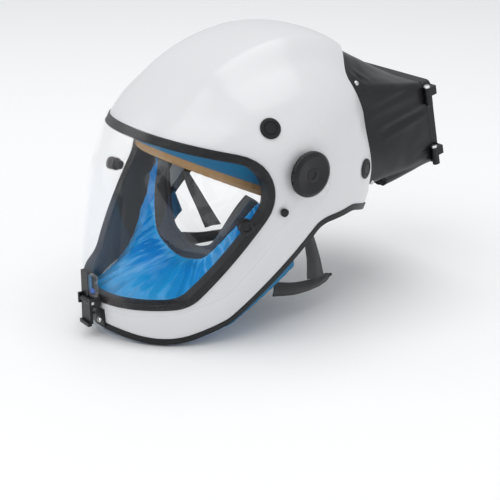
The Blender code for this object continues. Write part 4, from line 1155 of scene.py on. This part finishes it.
def cover_relief(point):
    """How far the cover's skin stands out at this point: soft creases and slow waves."""
    mirrored = Vector((abs(point.x), point.y, point.z))
    relief = 0.5 * noise.noise(point / 16) - 0.3
    for start, end, depth, width in CREASES:
        away, t = distance_to(mirrored, start, end)
        fade = math.sin(math.pi * min(max(t, 0.02), 0.98)) ** 0.5
        relief -= depth * fade * math.exp(-((away / width) ** 2) * 2)
        relief += 0.5 * depth * fade * math.exp(-(((away - width) / width) ** 2) * 2)
    return relief


def floor_normal():
    """The way the cover's floor faces, from its front and rear ends in side view."""
    rear = unit_to_world((0, -6, -UNIT_HALF_HEIGHT))
    rise, run = rear.z - UNIT_FLOOR_Z, rear.y - rear_edge_y(UNIT_FLOOR_Z) - COVER_GAP - 12
    return Vector((0, rise, -run)).normalized()


def make_cover():
    """The soft cover: an outline on the shell drawn out to a rounded box, with holes in its floor."""
    turns = cover_turns(2.5)

    def place(u, v):
        turn = turns[round(u * len(turns)) % len(turns)]
        if v < 0.02:
            return cover_front(turn, -COVER_TUCK)
        share = (v - 0.02) / 0.98
        point = cover_front(turn, COVER_GAP).lerp(cover_rear(turn, UNIT_END_Y), share)
        local = world_to_unit(point)
        if local.y > -FRAME_DEPTH - 32:
            rear = world_to_unit(cover_rear(math.atan2(local.z, local.x), local.y))
            size = max(math.hypot(rear.x, rear.z) / math.hypot(local.x, local.z), 1)
            point = unit_to_world((local.x * size, local.y, local.z * size))
        outward = Vector((local.x, 0, local.z)).normalized()
        return point + outward * cover_relief(point) * ramp(share * 12) * ramp((1 - share) * 14)

    bm = laid_grid(place, len(turns), 50)
    merge(bm, 1e-3)
    holes = []
    for node, radius in (("power_button", 8.3), ("charging_socket", 7.8)):
        low, high = [Vector(corner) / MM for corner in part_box(node)]
        holes.append(("DIFFERENCE", rod((low + high) / 2, floor_normal(), radius, 12)))
    mesh = cut(walled(bm, UNIT_WALL, -1), holes)
    piece("unit_skin", mesh, "helmet", "cover_leather", ["unit_cover"], 50)


def make_cover_roll():
    """The rolled edge of the cover, just behind the shell's rear edge."""
    path = []
    for turn in cover_turns(5):
        front = cover_front(turn, 2 * COVER_GAP)
        local = world_to_unit(front)
        path.append(front + Vector((local.x, 0, local.z)).normalized() * COVER_GAP)
    piece("cover_roll", bead(path, ROLL_RADIUS), "helmet", "cover_leather")


def make_cover_rivets():
    """Steel rivets on both sides of the cover."""
    spots = ((84, 112, -40), (72, 99, 62))
    rivet = [(0, 1.4), (1.4, 1.2), (2.4, 0.5), (2.6, 0), (2.6, -1), (0, -1)]
    meshes = []
    for x, y, z in spots:
        turn = math.atan2(z - SPINE_Z, x)
        front, rear = cover_front(turn, COVER_GAP), cover_rear(turn, UNIT_END_Y)
        foot = front.lerp(rear, (y - front.y) / (rear.y - front.y))
        for _, side in SIDES:
            point = Vector((foot.x * side, foot.y, foot.z))
            outward = Vector((point.x, 0, point.z - SPINE_Z)).normalized()
            meshes.append(turned(rivet, point + outward * 0.1, outward, 24))
    piece("cover_rivets", joined(meshes), "helmet", "steel")


def make_filter():
    """Pleated paper, seen through the louvres."""
    half_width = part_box("filter_media")[1][0] / MM
    half_height = UNIT_HALF_HEIGHT - 10.8
    folds, rear_y, fold_depth = 34, -32, 24

    def place(u, v):
        fold = abs((u * folds) % 1 - 0.5) * 2
        x, z = (2 * u - 1) * half_width, (2 * v - 1) * half_height
        return unit_to_world((x, rear_y + fold_depth * fold, z))

    mesh = sheet_mesh(place, folds * 2, 4, (2 * half_width, 2 * half_height), 0.6)
    piece("pleated_paper", mesh, "helmet", "filter_paper", ["filter_media"], 20)


# ---- carried-over CAD nodes


def dress_nodes():
    """Gives each CAD node that is carried over the look of its slot."""
    looks = {entry["node"]: SLOT_LOOKS[entry["material_slot"]] for entry in frame["record"]["subparts"]}
    for node, obj in frame["nodes"].items():
        if not obj.material_slots:
            obj.data.materials.append(looks[node])
        for slot in obj.material_slots:
            slot.material = looks[node]


# ---- stage, lights and camera


FLOOR_DROP = 0.002


def make_stage():
    """A pale floor just under the helmet, and soft light from all round."""
    bm = bmesh.new()
    bmesh.ops.create_grid(bm, x_segments=1, y_segments=1, size=12)
    mesh = bpy.data.meshes.new("floor")
    bm.to_mesh(mesh)
    bm.free()
    floor = placed("floor", mesh)
    floor.location.z = CAD_BOX[0][2] - FLOOR_DROP
    material = bpy.data.materials.new("floor")
    material.use_nodes = True
    shader = material.node_tree.nodes["Principled BSDF"]
    set_inputs(shader, {"Base Color": (0.95, 0.95, 0.95, 1), "Roughness": 0.7})
    mesh.materials.append(material)
    world = bpy.data.worlds.new("studio")
    world.use_nodes = True
    background = world.node_tree.nodes["Background"]
    set_inputs(background, {"Color": (0.95, 0.97, 1.0, 1), "Strength": 0.68})
    bpy.context.scene.world = world
    bpy.context.scene.view_settings.view_transform = "Standard"


def area_light(name, place, size, power):
    """A large lamp aimed at the helmet. Places and sizes are in metres."""
    light = bpy.data.lights.new(name, "AREA")
    light.shape = "RECTANGLE"
    light.size, light.size_y = size
    light.energy = power
    obj = placed(name, light)
    obj.location = place
    obj.rotation_euler = (-Vector(place)).to_track_quat("-Z", "Y").to_euler()


def make_lights():
    area_light("key", (0.3, -1.6, 1.9), (2.4, 1.6), 16)
    area_light("side", (2.0, 0.6, 0.8), (1.6, 1.8), 3.5)
    area_light("left", (-1.6, -1.2, 0.6), (0.8, 1.8), 3)
    area_light("top", (0, 0.4, 2.2), (2.2, 1.6), 16)


CAMERA_AZIMUTH = math.radians(53.6)
CAMERA_ELEVATION = math.radians(21.2)
CAMERA_ROLL = math.radians(0.6)
CAMERA_DISTANCE = 1.2029
CAMERA_AIM = (0.0193, -0.1046)  # where the object's origin stands from the view's middle, in metres
CAMERA_LENS = 89.43


def make_camera():
    c, s = math.cos(CAMERA_AZIMUTH), math.sin(CAMERA_AZIMUTH)
    ce, se = math.cos(CAMERA_ELEVATION), math.sin(CAMERA_ELEVATION)
    back = Vector((s * ce, -c * ce, se))
    right = Vector((c, s, 0))
    up = back.cross(right)
    turn = Matrix((right, up, back)).transposed() @ Matrix.Rotation(CAMERA_ROLL, 3, "Z")
    camera = bpy.data.cameras.new("camera")
    camera.lens = CAMERA_LENS
    camera.sensor_width = 36
    obj = placed("camera", camera)
    obj.matrix_world = turn.to_4x4()
    obj.location = turn @ Vector((*CAMERA_AIM, CAMERA_DISTANCE))
    bpy.context.scene.camera = obj


def main():
    dress_nodes()
    make_shell()
    make_edging()
    make_lining()
    make_visor()
    make_pivots()
    make_visor_fittings()
    make_harness_plugs()
    make_lens()
    make_sweatband()
    make_crown_straps()
    make_face_seal()
    make_brow_cloth()
    make_face_band()
    make_neck_cloth()
    make_neck_straps()
    make_cover()
    make_cover_roll()
    make_cover_rivets()
    make_filter()
    make_stage()
    make_lights()
    make_camera()


main()
